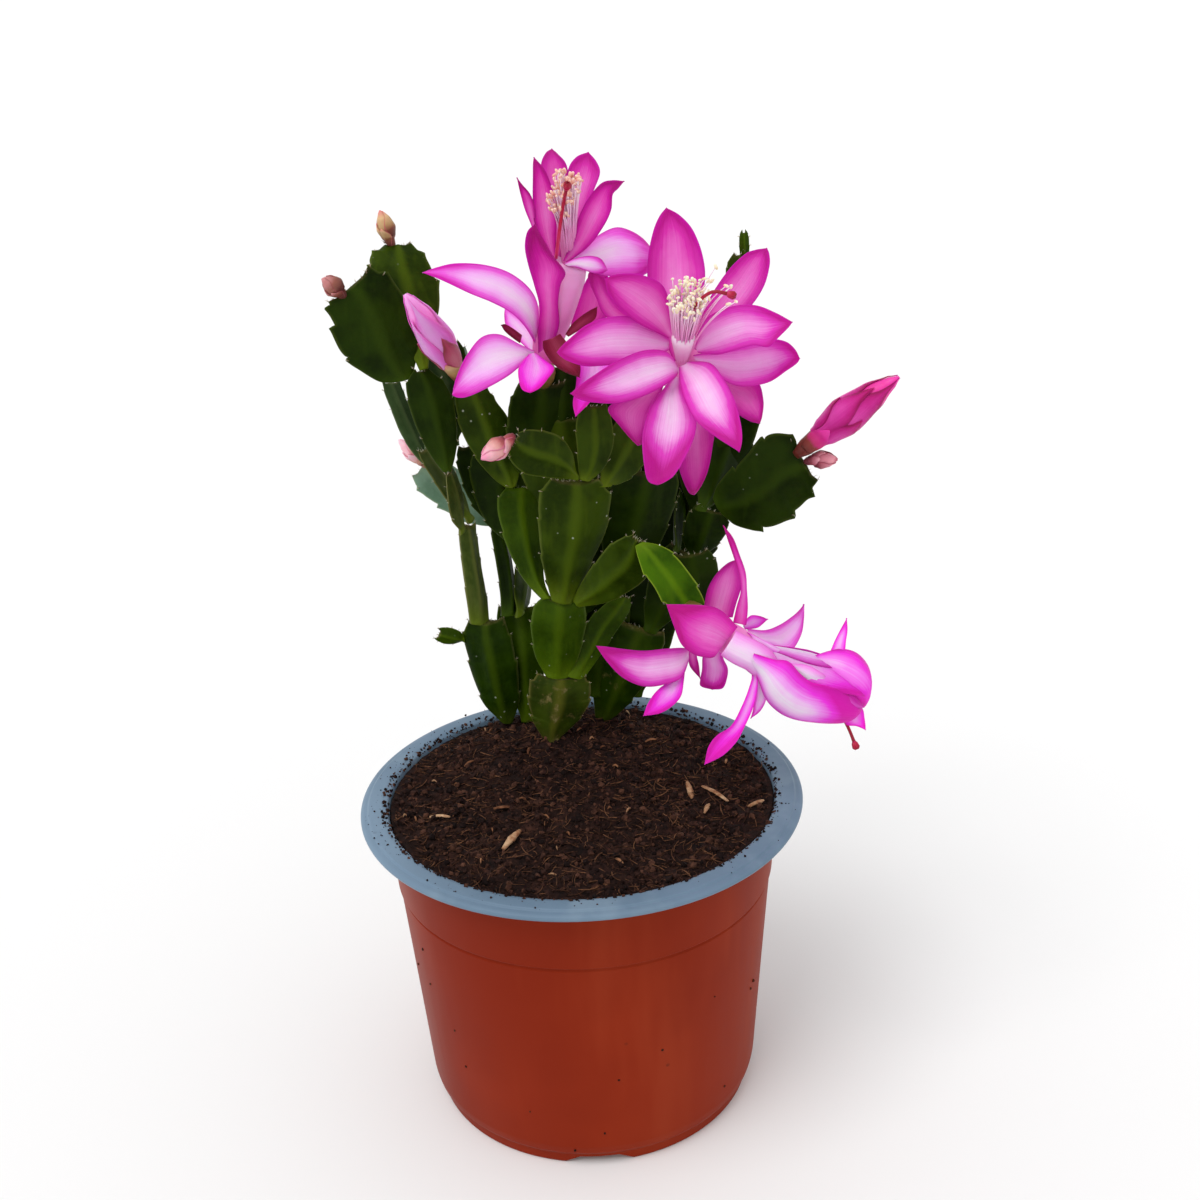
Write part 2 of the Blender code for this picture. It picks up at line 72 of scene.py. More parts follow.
RIM_R = (POT_HIGH.x - POT_LOW.x) / 2
RIM_Z = POT_HIGH.z
WALL_TOP_R, STEP_Z, FOOT_R, WALL, NOTCH_H = 53.2, 67.0, 45.0, 1.0, 2.4
LOW_WALL_R = 46.2
SOIL_EDGE_Z, SOIL_R = 87.9, 52.0
MOUND = (-7.0, 28.0, 6.0, 19.0)
NECK, HORN = 2.3, 0.9
OLD_TOP = 0.78  # a segment whose cut-off tip is at least this part of its width is an old one

# name, segment below, join, tip, width, thickness, width of the cut-off tip, turn, bow
SEGMENTS = [
    ("left_1", "soil", (-20.5, 36), (-23.5, 34, 127), 18, 7.5, 0.86, 0, 0),
    ("left_pad", "left_1", (0.84, -1), (-38.0, 31, 123.8), 5.2, 3.4, 0.62, 0, 0),
    ("left_2", "left_1", -3.6, (-28, 28, 157), 12.5, 5.4, 0.90, 68, 1),
    ("left_3", "left_1", 3.4, (-19.5, 42, 152), 11, 5.2, 0.88, 68, 0),
    ("left_4", "left_1", 8.4, (-13, 49, 140), 11, 3.4, 0.60, 60, 0),
    ("left_5", "left_2", -2.5, (-31, 24, 173.5), 10, 2.8, 0.60, 74, 0),
    ("left_6", "left_5", 0, (-35.5, 22, 201.5), 11.5, 3.0, 0.79, 25, 0),
    ("left_7", "left_6", -2.4, (-50.5, 18, 226.5), 23, 3.0, 0.56, 22, 0),
    ("left_8", "left_6", 2.6, (-40.5, 37, 230), 18.5, 3.2, 0.5, 20, -4),
    ("left_9", "left_2", 3.4, (-38, 34, 177), 10, 2.8, 0.60, 70, 0),
    ("left_10", "left_9", -2.3, (-45.8, 38, 195), 8, 2.6, 0.60, 35, 0),
    ("left_11", "left_9", 2.4, (-29, 48, 202), 12.5, 2.6, 0.55, 20, 0),
    ("left_12", "left_3", -2.2, (-26, 43, 175), 11, 2.8, 0.60, 15, 0),
    ("left_13", "left_3", 2.4, (-41, 50, 167), 12, 2.6, 0.55, 10, 0),
    ("centre_1", "soil", (-8.3, 22.3), (-4, 23, 111), 18, 8.5, 0.90, 0, 0),
    ("centre_2", "centre_1", -2.6, (-4, 19, 137), 15.5, 5.4, 0.80, 0, 0),
    ("centre_3", "centre_1", 5.8, (13, 28, 137), 13, 3.4, 0.60, 25, 0),
    ("centre_4", "centre_2", -3.6, (-12, 27, 168), 18, 4.4, 0.84, 25, 0),
    ("centre_5", "centre_2", 0.8, (3, 13, 172), 20, 6.0, 0.84, 15, 1.0),
    ("centre_6", "centre_2", 5.8, (18, 5, 156), 13.5, 3.2, 0.70, 0, 2),
    ("centre_7", "centre_4", -4.4, (-24, 27, 196), 16, 3.4, 0.60, 4, -1.5),
    ("centre_8", "centre_4", 3.4, (-5, 24, 196), 18.5, 3.6, 0.70, 20, 0),
    ("centre_9", "centre_5", -2.2, (-12, 0, 187), 12.6, 2.2, 0.60, 0, 3.0),
    ("centre_10", "centre_5", 2.8, (8, 12, 196), 13, 3.0, 0.60, 15, 0),
    ("centre_11", "centre_5", 7.2, (20, 24, 184), 14, 2.8, 0.60, 20, 0),
    ("right_1", "soil", (7, 36.5), (19, 33, 122), 17.5, 6.0, 0.80, 0, 0),
    ("right_2", "right_1", 3.0, (33, 30, 145), 14.5, 4.0, 0.80, 0, 0),
    ("right_3", "centre_3", 0, (22, 24, 171), 20, 4.4, 0.80, 10, 0),
    ("right_4", "right_3", 5.0, (33, 18, 189.6), 13, 3.0, 0.60, 0, 0),
    ("right_5", "centre_6", 1.5, (30, -3, 143.5), 11, 2.8, 0.60, 0, 1.6),
    ("right_6", "right_2", -3.4, (32, 37, 160), 11, 3.2, 0.60, 70, 0),
    ("right_7", "right_2", 2.0, (39, 26, 158.5), 12, 3.2, 0.74, 0, 0),
    ("right_8", "right_7", -2.6, (46, 35, 177), 12, 3.0, 0.60, 20, 0),
    ("right_9", "right_7", 3.0, (62, 18, 174.6), 24, 3.4, 0.62, 0, 1),
    ("right_10", "right_8", 0, (48, 32, 202), 11, 2.8, 0.60, 20, 0),
    ("right_11", "right_10", 0, (47, 28, 226.5), 8, 2.4, 0.35, 20, 0),
]
# shoots behind the others, with no CAD node: name, foot, tip, width, thickness, top, turn, finish. Those in
# the dark finish are dark shoots set into the shaded gaps between the segments: painted shade.
BEHIND = [
    ("centre_a", (9, 32, 160), (8, 36, 195), 22, 3.4, 0.62, 5, "dark"),
    ("centre_b", (16, 33, 158), (26, 34, 189), 17, 3.2, 0.62, -8, "dark"),
    ("centre_c", (-10.5, 31, 163), (-8.1, 30, 177), 13, 4.0, 0.84, 5, "mid"),
    ("centre_d", (-15, 30, 150), (-20, 33, 176), 15, 3.4, 0.62, 8, "dark"),
    ("right_a", (32, 38, 134), (37, 37, 166), 19, 3.4, 0.62, 0, "dark"),
    ("right_b", (36, 36, 154), (45.5, 31, 190), 20, 3.4, 0.60, 6, "dark"),
    ("right_c", (17, 38, 98), (24, 36, 139), 17, 3.8, 0.66, -6, "dark"),
    ("centre_e", (6, 35, 100), (8, 33, 134), 18, 3.4, 0.7, 6, "dark"),
    ("centre_g", (1, 31, 126), (6, 31, 163), 23, 3.2, 0.7, 6, "dark"),
    ("centre_h", (-2, 26, 158), (-1, 27, 186), 22, 3.2, 0.7, 0, "mid"),
    ("right_d", (35, 24, 127), (33, 22, 147.6), 14, 3.2, 0.62, 0, "dark"),
    ("right_e", (48.6, 28.3, 223), (48.3, 28.3, 232), 2.6, 1.6, 0.3, 0, "fresh"),
    ("left_b", (-29, 31, 190), (-33.2, 30, 206.5), 10, 2.6, 0.6, 0, "grey"),
    ("centre_f", (-1, 28, 180), (0.3, 27, 199.7), 14, 3.2, 0.62, 0, "dark"),
    ("left_c", (-14.8, 39, 91), (-15.3, 40, 127), 14, 6.0, 0.86, 0, "fresh"),
    ("left_a", (-31, 41, 176), (-31, 42, 204), 13, 2.8, 0.60, -10, "dark"),
]
# finish of each segment: (green, tooth height as a part of the half width)
GREENS = {
    "left_1": ("old", 0.05), "left_pad": ("fresh", 0.01), "left_2": ("rod", 0.03), "left_3": ("dark", 0.03),
    "left_4": ("mid", 0.04), "left_5": ("rod", 0.05), "left_6": ("dark", 0.05), "left_7": ("dark", 0.10),
    "left_8": ("mid", 0.09), "left_9": ("rod", 0.05), "left_10": ("grey", 0.04), "left_11": ("blue", 0.10),
    "left_12": ("dark", 0.08), "left_13": ("blue", 0.13), "centre_1": ("woody", 0.06),
    "centre_2": ("fresh", 0.03), "centre_3": ("fresh", 0.04), "centre_4": ("fresh", 0.04),
    "centre_5": ("mid", 0.04), "centre_6": ("mid", 0.04), "centre_7": ("mid", 0.05),
    "centre_8": ("dark", 0.05), "centre_9": ("mid", 0.03), "centre_10": ("mid", 0.04),
    "centre_11": ("mid", 0.05), "right_1": ("old", 0.05), "right_2": ("dark", 0.04),
    "right_3": ("dark", 0.05), "right_4": ("dark", 0.06), "right_5": ("bright", 0.07),
    "right_6": ("dark", 0.05), "right_7": ("dark", 0.06), "right_8": ("dark", 0.08),
    "right_9": ("dark", 0.11), "right_10": ("mid", 0.08), "right_11": ("mid", 0.06),
}
BUDS = [  # name, foot, tip, width
    ("bud_1", (-41.8, 36, 230.6), (-44.3, 36, 240.6), 4.6),
    ("bud_2", (-52.6, 18, 222.0), (-57.6, 15, 227.6), 5.0),
    ("bud_3", (-24.6, 25, 196.5), (-36.4, 4, 224.8), 8.6),
    ("bud_4", (-38.4, 44, 169.0), (-46.1, 46, 176.8), 4.8),
    ("bud_5", (-12.4, 0, 189.8), (-20.4, -7, 186.3), 5.4),
    ("bud_6", (60.6, 18, 175.6), (85.3, 10, 197.3), 9.6),
    ("bud_7", (62.8, 18, 173.6), (71.1, 15, 174.6), 4.6),
]
FLOWERS = {
    "flower_1": {
        "on": ("centre_8", 0.5),
        "axis": [(-4.6, 22.6, 203), (-0.8, 18.4, 216), (3.9, 14.3, 228.6)],
        "tube": [2.7, 3.4, 4.0, 4.4, 4.6, 4.7, 4.7, 4.6, 4.0],
        "stamens": (3.4, 6.0, 248.3),
        "style": [(0.2, 9, 231.0), (1.7, 6, 240.0), (2.7, 3, 245.2), (3.4, 1, 248.2)],
    },
    "flower_2": {
        "on": ("right_4", 0.5),
        "axis": [(32.3, 14.4, 196.0), (31.2, 10.8, 200.0), (29.4, 6.4, 204.0)],
        "tube": [2.7, 3.2, 3.5, 3.6, 3.6, 3.5, 3.3, 2.9, 2.2],
        "stamens": (30.2, -9, 224.3),
        "style": [(30, 4, 206.4), (30.6, 0, 213.5), (31.4, -4, 218.4), (32.6, -8, 221.8),
                  (34.4, -11, 224.3), (36.5, -12.5, 225.4),
                  (39.4, -13, 224.8)],
    },
    "flower_3": {
        "on": ("right_5", 0.5),
        "axis": [(34.4, -7.6, 138.6), (41.2, -10.4, 135.4), (49.4, -13, 131.2)],
        "tube": [2.8, 3.8, 4.1, 4.2, 4.1, 4.0, 3.8, 3.2, 1.8],
        "stamens": (56.5, -13.8, 127),
        "style": [(56, -13.6, 126), (66, -14, 118), (69.3, -14.6, 112.6), (71, -17, 108.4)],
    },
}

# segments drawn from the outline that the front shows: y at the foot and the tip, slant, then
# the x and z of both margins from the foot to the tip. A scratch script wrote these rows from
# points picked on the photo.
OUTLINES = {
    "left_7": ((22, 18, 0.36), [
        (-41.5, 199.3, -38.4, 200.1), (-46.3, 199.8, -37.3, 203.5), (-51.5, 204, -36.5, 208.4),
        (-54.7, 207.8, -36.2, 213), (-56.3, 212.4, -37, 217.9), (-56.3, 216, -38.7, 221.2),
        (-57, 219.3, -41.8, 225.8), (-56.5, 221, -45.8, 228.7)]),
    "left_8": ((22, 36, 0.2), [
        (-36.3, 201.8, -34, 202.3), (-38.7, 207, -33.2, 207.3), (-42.9, 213.1, -31.2, 212),
        (-45.2, 219, -30.3, 217), (-47.1, 224.9, -30.5, 221.2), (-47.6, 228.7, -31.9, 225.6),
        (-46.2, 230.8, -34.2, 228.9), (-43.7, 231.8, -37.3, 231.2)]),
    "left_6": ((24, 22, 0.4), [
        (-32.8, 174, -30.5, 173.6), (-35.2, 178.6, -29, 178), (-37.9, 185.6, -28.2, 183.6),
        (-39.4, 191.9, -28.4, 189.7), (-40, 196.7, -29.3, 195.1), (-39.5, 200, -31.8, 199.6),
        (-37.6, 201.7, -34.5, 201.5)]),
    "left_10": ((34, 38, 0.6), [
        (-37.3, 171.6, -34.9, 171.4), (-41, 176.3, -37, 175.8), (-43.8, 181.8, -38.5, 180.7),
        (-45.6, 187.1, -40.4, 184.3), (-47.3, 192, -41.9, 189.2), (-48.2, 195.3, -43.5, 194.7)]),
    "centre_7": ((27, 27, 0.1), [
        (-16.2, 167.4, -13.6, 167.7), (-19.4, 170.3, -12.4, 171.8), (-23.2, 175.6, -12.5, 176.5),
        (-26.2, 181.6, -13.3, 181.8), (-27.8, 187.5, -14.6, 186.8), (-28.1, 193.7, -17.7, 191.6),
        (-27.2, 197.9, -20.2, 195.9)]),
    "centre_9": ((12, 0, 0), [
        (2.5, 175.6, 2.9, 173.4), (1.9, 181.4, -0.9, 174.9), (-0.7, 186.5, -6.3, 176.5),
        (-4.5, 188.9, -10.8, 178.6), (-8.4, 190.2, -13.5, 182.4), (-10.8, 190.4, -13.4, 186.2)]),
    "centre_10": ((13, 12, 0.2), [
        (3.4, 173.6, 6.2, 172.8), (3.2, 177.9, 9.8, 175.7), (3.1, 183.7, 12.4, 181.2),
        (3.2, 188.5, 12.5, 187.5), (4.6, 193, 11.1, 192.8)]),
    "centre_4": ((19, 27, 0.36), [
        (-8, 137.8, -5.7, 137.6), (-12.1, 142.5, -7.3, 141.6), (-15.4, 148.6, -7.5, 147.7),
        (-17.5, 155, -7.3, 154.4), (-18.8, 162.2, -7.2, 161.1), (-18, 166.4, -7.4, 164.8),
        (-15.7, 167.6, -8.8, 166.3)]),
    "centre_5": ((19, 13, 0.2), [
        (-5.7, 137.8, 0, 136.4), (-6.8, 144.5, 3, 142.3), (-7.9, 153, 6.9, 149.9),
        (-7.9, 160.6, 9.9, 156.6), (-7.6, 166.8, 11.3, 164), (-6.4, 171.1, 11.2, 168.5),
        (-3.9, 173.4, 8.2, 172.4)]),
    "centre_2": ((23, 19, 0), [
        (-8.5, 112.9, -2, 112.3), (-10.9, 118.9, 0.8, 118.3), (-11.7, 126, 2.8, 125.2),
        (-11.5, 131.7, 3.7, 130.8), (-9.9, 136.4, 3, 135.3), (-7.2, 138, -0.3, 136.9)]),
    "centre_3": ((23, 28, 0.3), [
        (-2.6, 112.8, 2.1, 110.9), (0.2, 120.1, 7.5, 117.8), (3.4, 127.2, 12.2, 124.6),
        (8.4, 132.3, 15.8, 129.4), (12.8, 134.5, 16.4, 132.7)]),
    "centre_6": ((19, 5, 0), [
        (0.3, 137.7, 2.1, 135), (3, 143.7, 8.2, 137), (6.6, 150, 13.9, 140.3), (10.7, 156, 19.6, 145.7),
        (14, 158.8, 20, 152.6), (16.1, 160.1, 18.7, 157.9)]),
    "centre_1": ((22, 23, 0), [
        (-9.6, 92.6, -5.5, 93.5), (-12.5, 98.4, -2.1, 96.9), (-13.6, 103.8, 2.1, 101.5),
        (-13.6, 108.4, 3.9, 106.1), (-12.8, 111.4, 3.7, 109.7), (-10.9, 112.8, 2.4, 111.4)]),
    "left_1": ((36, 34, 0), [
        (-23.1, 93.6, -19.1, 92.5), (-27.1, 98.7, -17.1, 98.7), (-29.6, 106.6, -16.6, 106.5),
        (-31, 115.6, -17.1, 114.8), (-31.5, 122.4, -18.2, 121), (-29.7, 125.6, -19.6, 125.9)]),
    "left_2": ((34, 28, 0.6), [
        (-29.3, 126, -24, 124.8), (-29.5, 134.4, -24, 132.8), (-29.8, 145.1, -25, 143.1),
        (-30, 152.5, -25.3, 150.9), (-29.7, 157.3, -25.5, 156.4)]),
    "left_3": ((35, 42, 0.6), [
        (-20.3, 127.1, -16.1, 126.3), (-20.2, 133.3, -16, 133.4), (-21.1, 143, -16.6, 141.8),
        (-21.8, 149.3, -17.8, 148.3), (-21.6, 151.5, -18.4, 150.9)]),
    "right_9": ((26, 18, -0.1), [
        (39.5, 162.3, 42.6, 156.9), (40.7, 166.2, 45.6, 154.6), (44.8, 171.2, 51, 153.5),
        (48.8, 175.7, 56.3, 154.8), (53.1, 180.6, 61.1, 158.8), (58.1, 180.6, 64.2, 163.5),
        (60.7, 176.8, 66, 168.3)]),
    "right_5": ((5, -3, 0), [
        (19.3, 158.2, 17, 157.1), (23.3, 157.5, 17.5, 154.6), (26.6, 155.6, 18.9, 150.6),
        (29.9, 151.5, 21.1, 147.6), (32.9, 146.5, 23.6, 143.5), (34.1, 143, 26.7, 140.4),
        (33.5, 140.1, 30.3, 138.7)]),
}

rng = random.Random(11)
LUMPY = 0.3  # how far a grain of soil strays from round


# ---------------------------------------------------------------- materials
def srgb(r, g, b):
    """Linear colour of an 8-bit one."""
    return tuple(c / 255 / 12.92 if c <= 10 else ((c / 255 + 0.055) / 1.055) ** 2.4 for c in (r, g, b)) + (1,)


class Nodes:
    """A small hand for building a node tree."""

    def __init__(self, name):
        self.material = bpy.data.materials.new(name)
        self.material.use_nodes = True
        self.tree = self.material.node_tree
        self.shader = self.tree.nodes["Principled BSDF"]
        self.coords = self.make("TexCoord").outputs["Object"]

    def make(self, kind, **settings):
        made = self.tree.nodes.new("ShaderNode" + kind)
        for key, value in settings.items():
            setattr(made, key, value)
        return made

    def put(self, socket, value):
        if isinstance(value, bpy.types.NodeSocket):
            self.tree.links.new(value, socket)
        else:
            socket.default_value = value

    def maths(self, operation, a, b=0.0, clamp=False):
        made = self.make("Math", operation=operation, use_clamp=clamp)
        self.put(made.inputs[0], a)
        self.put(made.inputs[1], b)
        return made.outputs[0]

    def span(self, value, low, high, to_low=0.0, to_high=1.0):
        """Value from low..high to to_low..to_high, smooth and clamped."""
        made = self.make("MapRange", interpolation_type="SMOOTHSTEP")
        for socket, v in zip(made.inputs, (value, low, high, to_low, to_high)):
            self.put(socket, v)
        return made.outputs[0]

    def mix(self, factor, a, b, blend="MIX"):
        made = self.make("Mix", data_type="RGBA", blend_type=blend)
        self.put(made.inputs[0], factor)
        self.put(made.inputs[6], a)
        self.put(made.inputs[7], b)
        return made.outputs[2]

    def stretched(self, scale):
        made = self.make("Mapping")
        self.put(made.inputs[0], self.coords)
        made.inputs[3].default_value = scale
        return made.outputs[0]

    def noise(self, scale, detail=3.0, rough=0.55, vector=None):
        made = self.make("TexNoise")
        self.put(made.inputs["Vector"], vector or self.coords)
        made.inputs["Scale"].default_value = scale
        made.inputs["Detail"].default_value = detail
        made.inputs["Roughness"].default_value = rough
        return made.outputs["Fac"]

    def cells(self, scale):
        made = self.make("TexVoronoi")
        self.put(made.inputs["Vector"], self.coords)
        made.inputs["Scale"].default_value = scale
        return made

    def mark(self, name):
        return self.make("Attribute", attribute_name=name).outputs["Fac"]

    def ramp(self, factor, *stops):
        made = self.make("ValToRGB")
        self.put(made.inputs[0], factor)
        points = made.color_ramp.elements
        while len(points) < len(stops):
            points.new(0.5)
        for point, (at, colour) in zip(points, stops):
            point.position, point.color = at, colour
        return made.outputs[0]

    def bump(self, height, distance, strength):
        made = self.make("Bump")
        made.inputs["Strength"].default_value = strength
        made.inputs["Distance"].default_value = distance
        self.put(made.inputs["Height"], height)
        return made.outputs[0]

    def finish(self, colour, roughness, normal=None, **constants):
        self.put(self.shader.inputs["Base Color"], colour)
        self.put(self.shader.inputs["Roughness"], roughness)
        if normal:
            self.put(self.shader.inputs["Normal"], normal)
        for key, value in constants.items():
            self.shader.inputs[key.replace("_", " ")].default_value = value
        return self.material


def green(name, dark, light, vein_and_rib_highlight, edge, foot, woody=0.0, gloss=0.36, dust=0.0):
    """Waxy skin of a stem segment: mottled, with a painted highlight along its rib, and paler at its foot and
    its thin margin.
    """
    n = Nodes(name)
    dark, light, vein_and_rib_highlight, edge, foot = (srgb(*colour) for colour in (dark, light, vein_and_rib_highlight, edge, foot))
    across = n.maths("ABSOLUTE", n.mark("across"))
    along = n.mark("along")
    broad = n.noise(85, 3)
    fine = n.noise(900, 4)
    colour = n.mix(n.span(broad, 0.36, 0.66), dark, light)
    colour = n.mix(n.maths("MULTIPLY", n.span(fine, 0.35, 0.75), 0.25), colour, light)
    veins = n.noise(340, 3, 0.5, n.stretched((1, 1, 0.18)))
    colour = n.mix(n.maths("MULTIPLY", n.span(veins, 0.52, 0.72), 0.22), colour, vein_and_rib_highlight)
    # painted highlight: the colour turns to the rib colour along the midrib
    colour = n.mix(n.span(across, 0.02, 0.30, 0.60, 0.0), colour, vein_and_rib_highlight)
    colour = n.mix(n.span(along, 0.0, 0.26, 0.85, 0.0), colour, foot)
    colour = n.mix(n.span(across, 0.90, 0.995, 0.0, 0.75), colour, edge)
    rough = n.span(fine, 0.3, 0.7, gloss - 0.05, gloss + 0.12)
    height = n.maths("ADD", n.maths("MULTIPLY", broad, 3.0), fine)
    cork = n.span(n.noise(130, 5, 0.65), 0.70 - 0.22 * woody, 0.78 - 0.20 * woody)
    cork = n.maths("MAXIMUM", cork, n.maths("MULTIPLY", n.span(along, 0.955, 1.0), 0.8))
    bark = n.ramp(n.noise(700, 4, 0.7), (0.3, srgb(64, 58, 30)), (0.5, srgb(104, 92, 52)),
                  (0.75, srgb(150, 136, 98)))
    part = n.maths("MULTIPLY", cork, 0.35 + 0.6 * woody)
    colour = n.mix(part, colour, bark)
    rough = n.maths("ADD", rough, n.maths("MULTIPLY", part, 0.4))
    height = n.maths("ADD", height, n.maths("MULTIPLY", n.noise(1500, 3), part))
    specks = n.cells(260)
    spot = n.maths("MULTIPLY", n.span(specks.outputs["Distance"], 0.05, 0.10, 1.0, 0.0),
                   n.span(n.noise(48, 2), 0.56 - 0.16 * dust, 0.62 - 0.10 * dust))
    spot = n.maths("MULTIPLY", spot, 0.25 + 0.6 * dust)
    colour = n.mix(spot, colour, srgb(196, 204, 186))
    return n.finish(colour, rough, n.bump(height, 0.00022, 0.55), Specular_IOR_Level=0.05)


# the third colour of each finish paints the vein streaks and the painted highlight along the rib
GREEN = {
    "dark": green("stem_dark", (16, 30, 0), (32, 50, 2), (46, 66, 6), (58, 72, 20), (54, 76, 10)),
    "mid": green("stem_mid", (30, 45, 1), (50, 68, 6), (74, 94, 12), (84, 96, 34),
                 (88, 106, 18), dust=0.5),
    "fresh": green("stem_fresh", (36, 56, 1), (54, 78, 4), (74, 98, 10), (76, 96, 30),
                   (86, 110, 14), dust=0.6),
    "bright": green("stem_bright", (40, 70, 2), (66, 102, 4), (92, 126, 12), (150, 174, 50),
                    (96, 126, 20)),
    "rod": green("stem_rod", (48, 62, 16), (74, 86, 34), (100, 106, 52), (112, 112, 64),
                 (96, 114, 30), woody=0.25),
    "old": green("stem_old", (20, 38, 0), (38, 60, 1), (60, 80, 8), (72, 80, 30),
                 (54, 68, 12), woody=0.30, dust=0.4),
    "woody": green("stem_woody", (30, 42, 2), (50, 64, 8), (88, 88, 26), (92, 88, 42),
                   (66, 68, 22), woody=0.55, gloss=0.48, dust=0.5),
    "blue": green("stem_blue", (92, 122, 98), (120, 148, 128), (134, 162, 134), (146, 164, 132),
                  (98, 122, 76), gloss=0.46),
    "grey": green("stem_grey", (44, 64, 32), (66, 86, 50), (84, 102, 62), (100, 112, 78),
                  (74, 92, 40)),
}


def petal(name, white, pale, full, rim, reach=0.0, shine=0.42, outlined=0.9, ends=0.72):
    """Thin petal: near white down its middle, magenta to the margin and tip, with fine veins."""
    n = Nodes(name)
    white, pale, full, rim = (srgb(*colour) for colour in (white, pale, full, rim))
    across = n.maths("ABSOLUTE", n.mark("across"))
    along = n.mark("along")
    made = n.make("CombineXYZ")
    n.put(made.inputs[0], n.maths("MULTIPLY", n.mark("across"), 11.0))
    n.put(made.inputs[1], n.maths("MULTIPLY", along, 1.3))
    n.put(made.inputs[2], n.mark("seed"))
    veins = n.noise(1.6, 4, 0.6, made.outputs[0])
    soft = n.noise(110, 3)
    margin = n.maths("POWER", across, 1.7)
    tip = n.maths("POWER", n.span(along, 0.30, 1.0), 1.5)
    # the white heart of the petal is widest a third of the way up
    value = n.maths("ADD", n.maths("MULTIPLY", margin, 0.74), n.maths("MULTIPLY", tip, ends))
    value = n.maths("ADD", value, n.maths("MULTIPLY", n.maths("SUBTRACT", veins, 0.5), 0.34))
    value = n.maths("ADD", value, n.maths("MULTIPLY", n.maths("SUBTRACT", soft, 0.5), 0.34))
    value = n.maths("ADD", value, reach)
    colour = n.ramp(value, (0.0, white), (0.28, pale), (0.60, full), (0.95, rim))
    outline = n.span(across, 0.88, 0.99, 0.0, outlined)
    colour = n.mix(outline, colour, rim)
    height = n.maths("ADD", veins, n.maths("MULTIPLY", n.noise(2600, 2), 0.25))
    rough = n.span(veins, 0.3, 0.7, shine, shine + 0.14)
    return n.finish(colour, rough, n.bump(height, 0.00025, 0.5), Specular_IOR_Level=0.15, Sheen_Weight=0.05,
                    Sheen_Roughness=0.4, Subsurface_Weight=0.45, Subsurface_Radius=(1.0, 0.45, 0.8),
                    Subsurface_Scale=0.0035)


PETAL = {
    "white": petal("petal_white", (252, 218, 247), (242, 166, 226), (214, 58, 180), (176, 6, 128), 0.15,
                   ends=1.25),
    "open": petal("petal_open", (246, 194, 236), (238, 146, 216), (212, 52, 178), (176, 6, 128), 0.12,
                  ends=1.05),
    "open2": petal("petal_open_deep", (240, 160, 214), (228, 112, 192), (204, 44, 162), (168, 4, 122),
                   0.18, ends=0.85),
    "light": petal("petal_light", (254, 220, 254), (253, 180, 250), (238, 88, 212), (202, 16, 158), 0.06),
    "deep": petal("petal_deep", (226, 124, 192), (212, 84, 172), (190, 30, 148), (154, 2, 108), 0.16,
                  ends=0.85),
    "deep2": petal("petal_magenta", (240, 136, 206), (224, 76, 180), (192, 16, 148), (148, 0, 104), 0.14,
                   ends=1.0),
    "bell": petal("petal_bell", (254, 200, 250), (254, 128, 240), (252, 44, 222), (226, 14, 170), 0.14),
    "bell2": petal("petal_rose", (242, 140, 210), (234, 88, 188), (218, 40, 168), (184, 8, 126), 0.14,
                   ends=0.9),
    "bell3": petal("petal_bell_pale", (254, 226, 254), (254, 156, 248), (252, 50, 226), (226, 12, 170),
                   0.06, ends=1.9),
    "pale": petal("petal_pale", (254, 222, 252), (253, 190, 248), (250, 140, 232), (236, 90, 204), 0.06,
                  outlined=0.35, ends=0.2),
    "sepal": petal("petal_sepal", (150, 50, 80), (122, 24, 52), (102, 8, 36), (80, 2, 26), 0.1),
    "bud": petal("bud_scale", (255, 156, 240), (255, 122, 226), (254, 98, 208), (236, 66, 178), 0.06, 0.34,
                 0.3,
                 -0.2),
    "bud_calyx": petal("bud_scale_low", (222, 124, 140), (206, 94, 120), (186, 70, 100), (150, 60, 70),
                       0.1, 0.34, 0.4),
    "bud_red": petal("bud_scale_red", (240, 70, 172), (222, 40, 148), (202, 20, 124), (160, 10, 84), 0.04,
                     0.34, 0.5),
}


def gradient(name, stops, bump=0.4, gloss=0.42, rim=None):
    """A colour run along the piece, broken up by noise."""
    n = Nodes(name)
    value = n.maths("ADD", n.mark("along"), n.maths("MULTIPLY", n.maths("SUBTRACT", n.noise(420, 3), 0.5),
                                                    0.22))
    colour = n.ramp(value, *((at, srgb(*stop)) for at, stop in stops))
    fine = n.noise(1500, 3)
    if rim:
        margin = n.span(n.maths("ABSOLUTE", n.mark("across")), 0.72, 0.98, 0.0, 0.8)
        colour = n.mix(margin, colour, srgb(*rim))
    rough = n.span(fine, 0.3, 0.7, gloss - 0.05, gloss + 0.12)
    return n.finish(colour, rough, n.bump(fine, 0.00018, bump), Specular_IOR_Level=0.35,
                    Subsurface_Weight=0.2,
                    Subsurface_Radius=(1.0, 0.4, 0.4), Subsurface_Scale=0.0012)


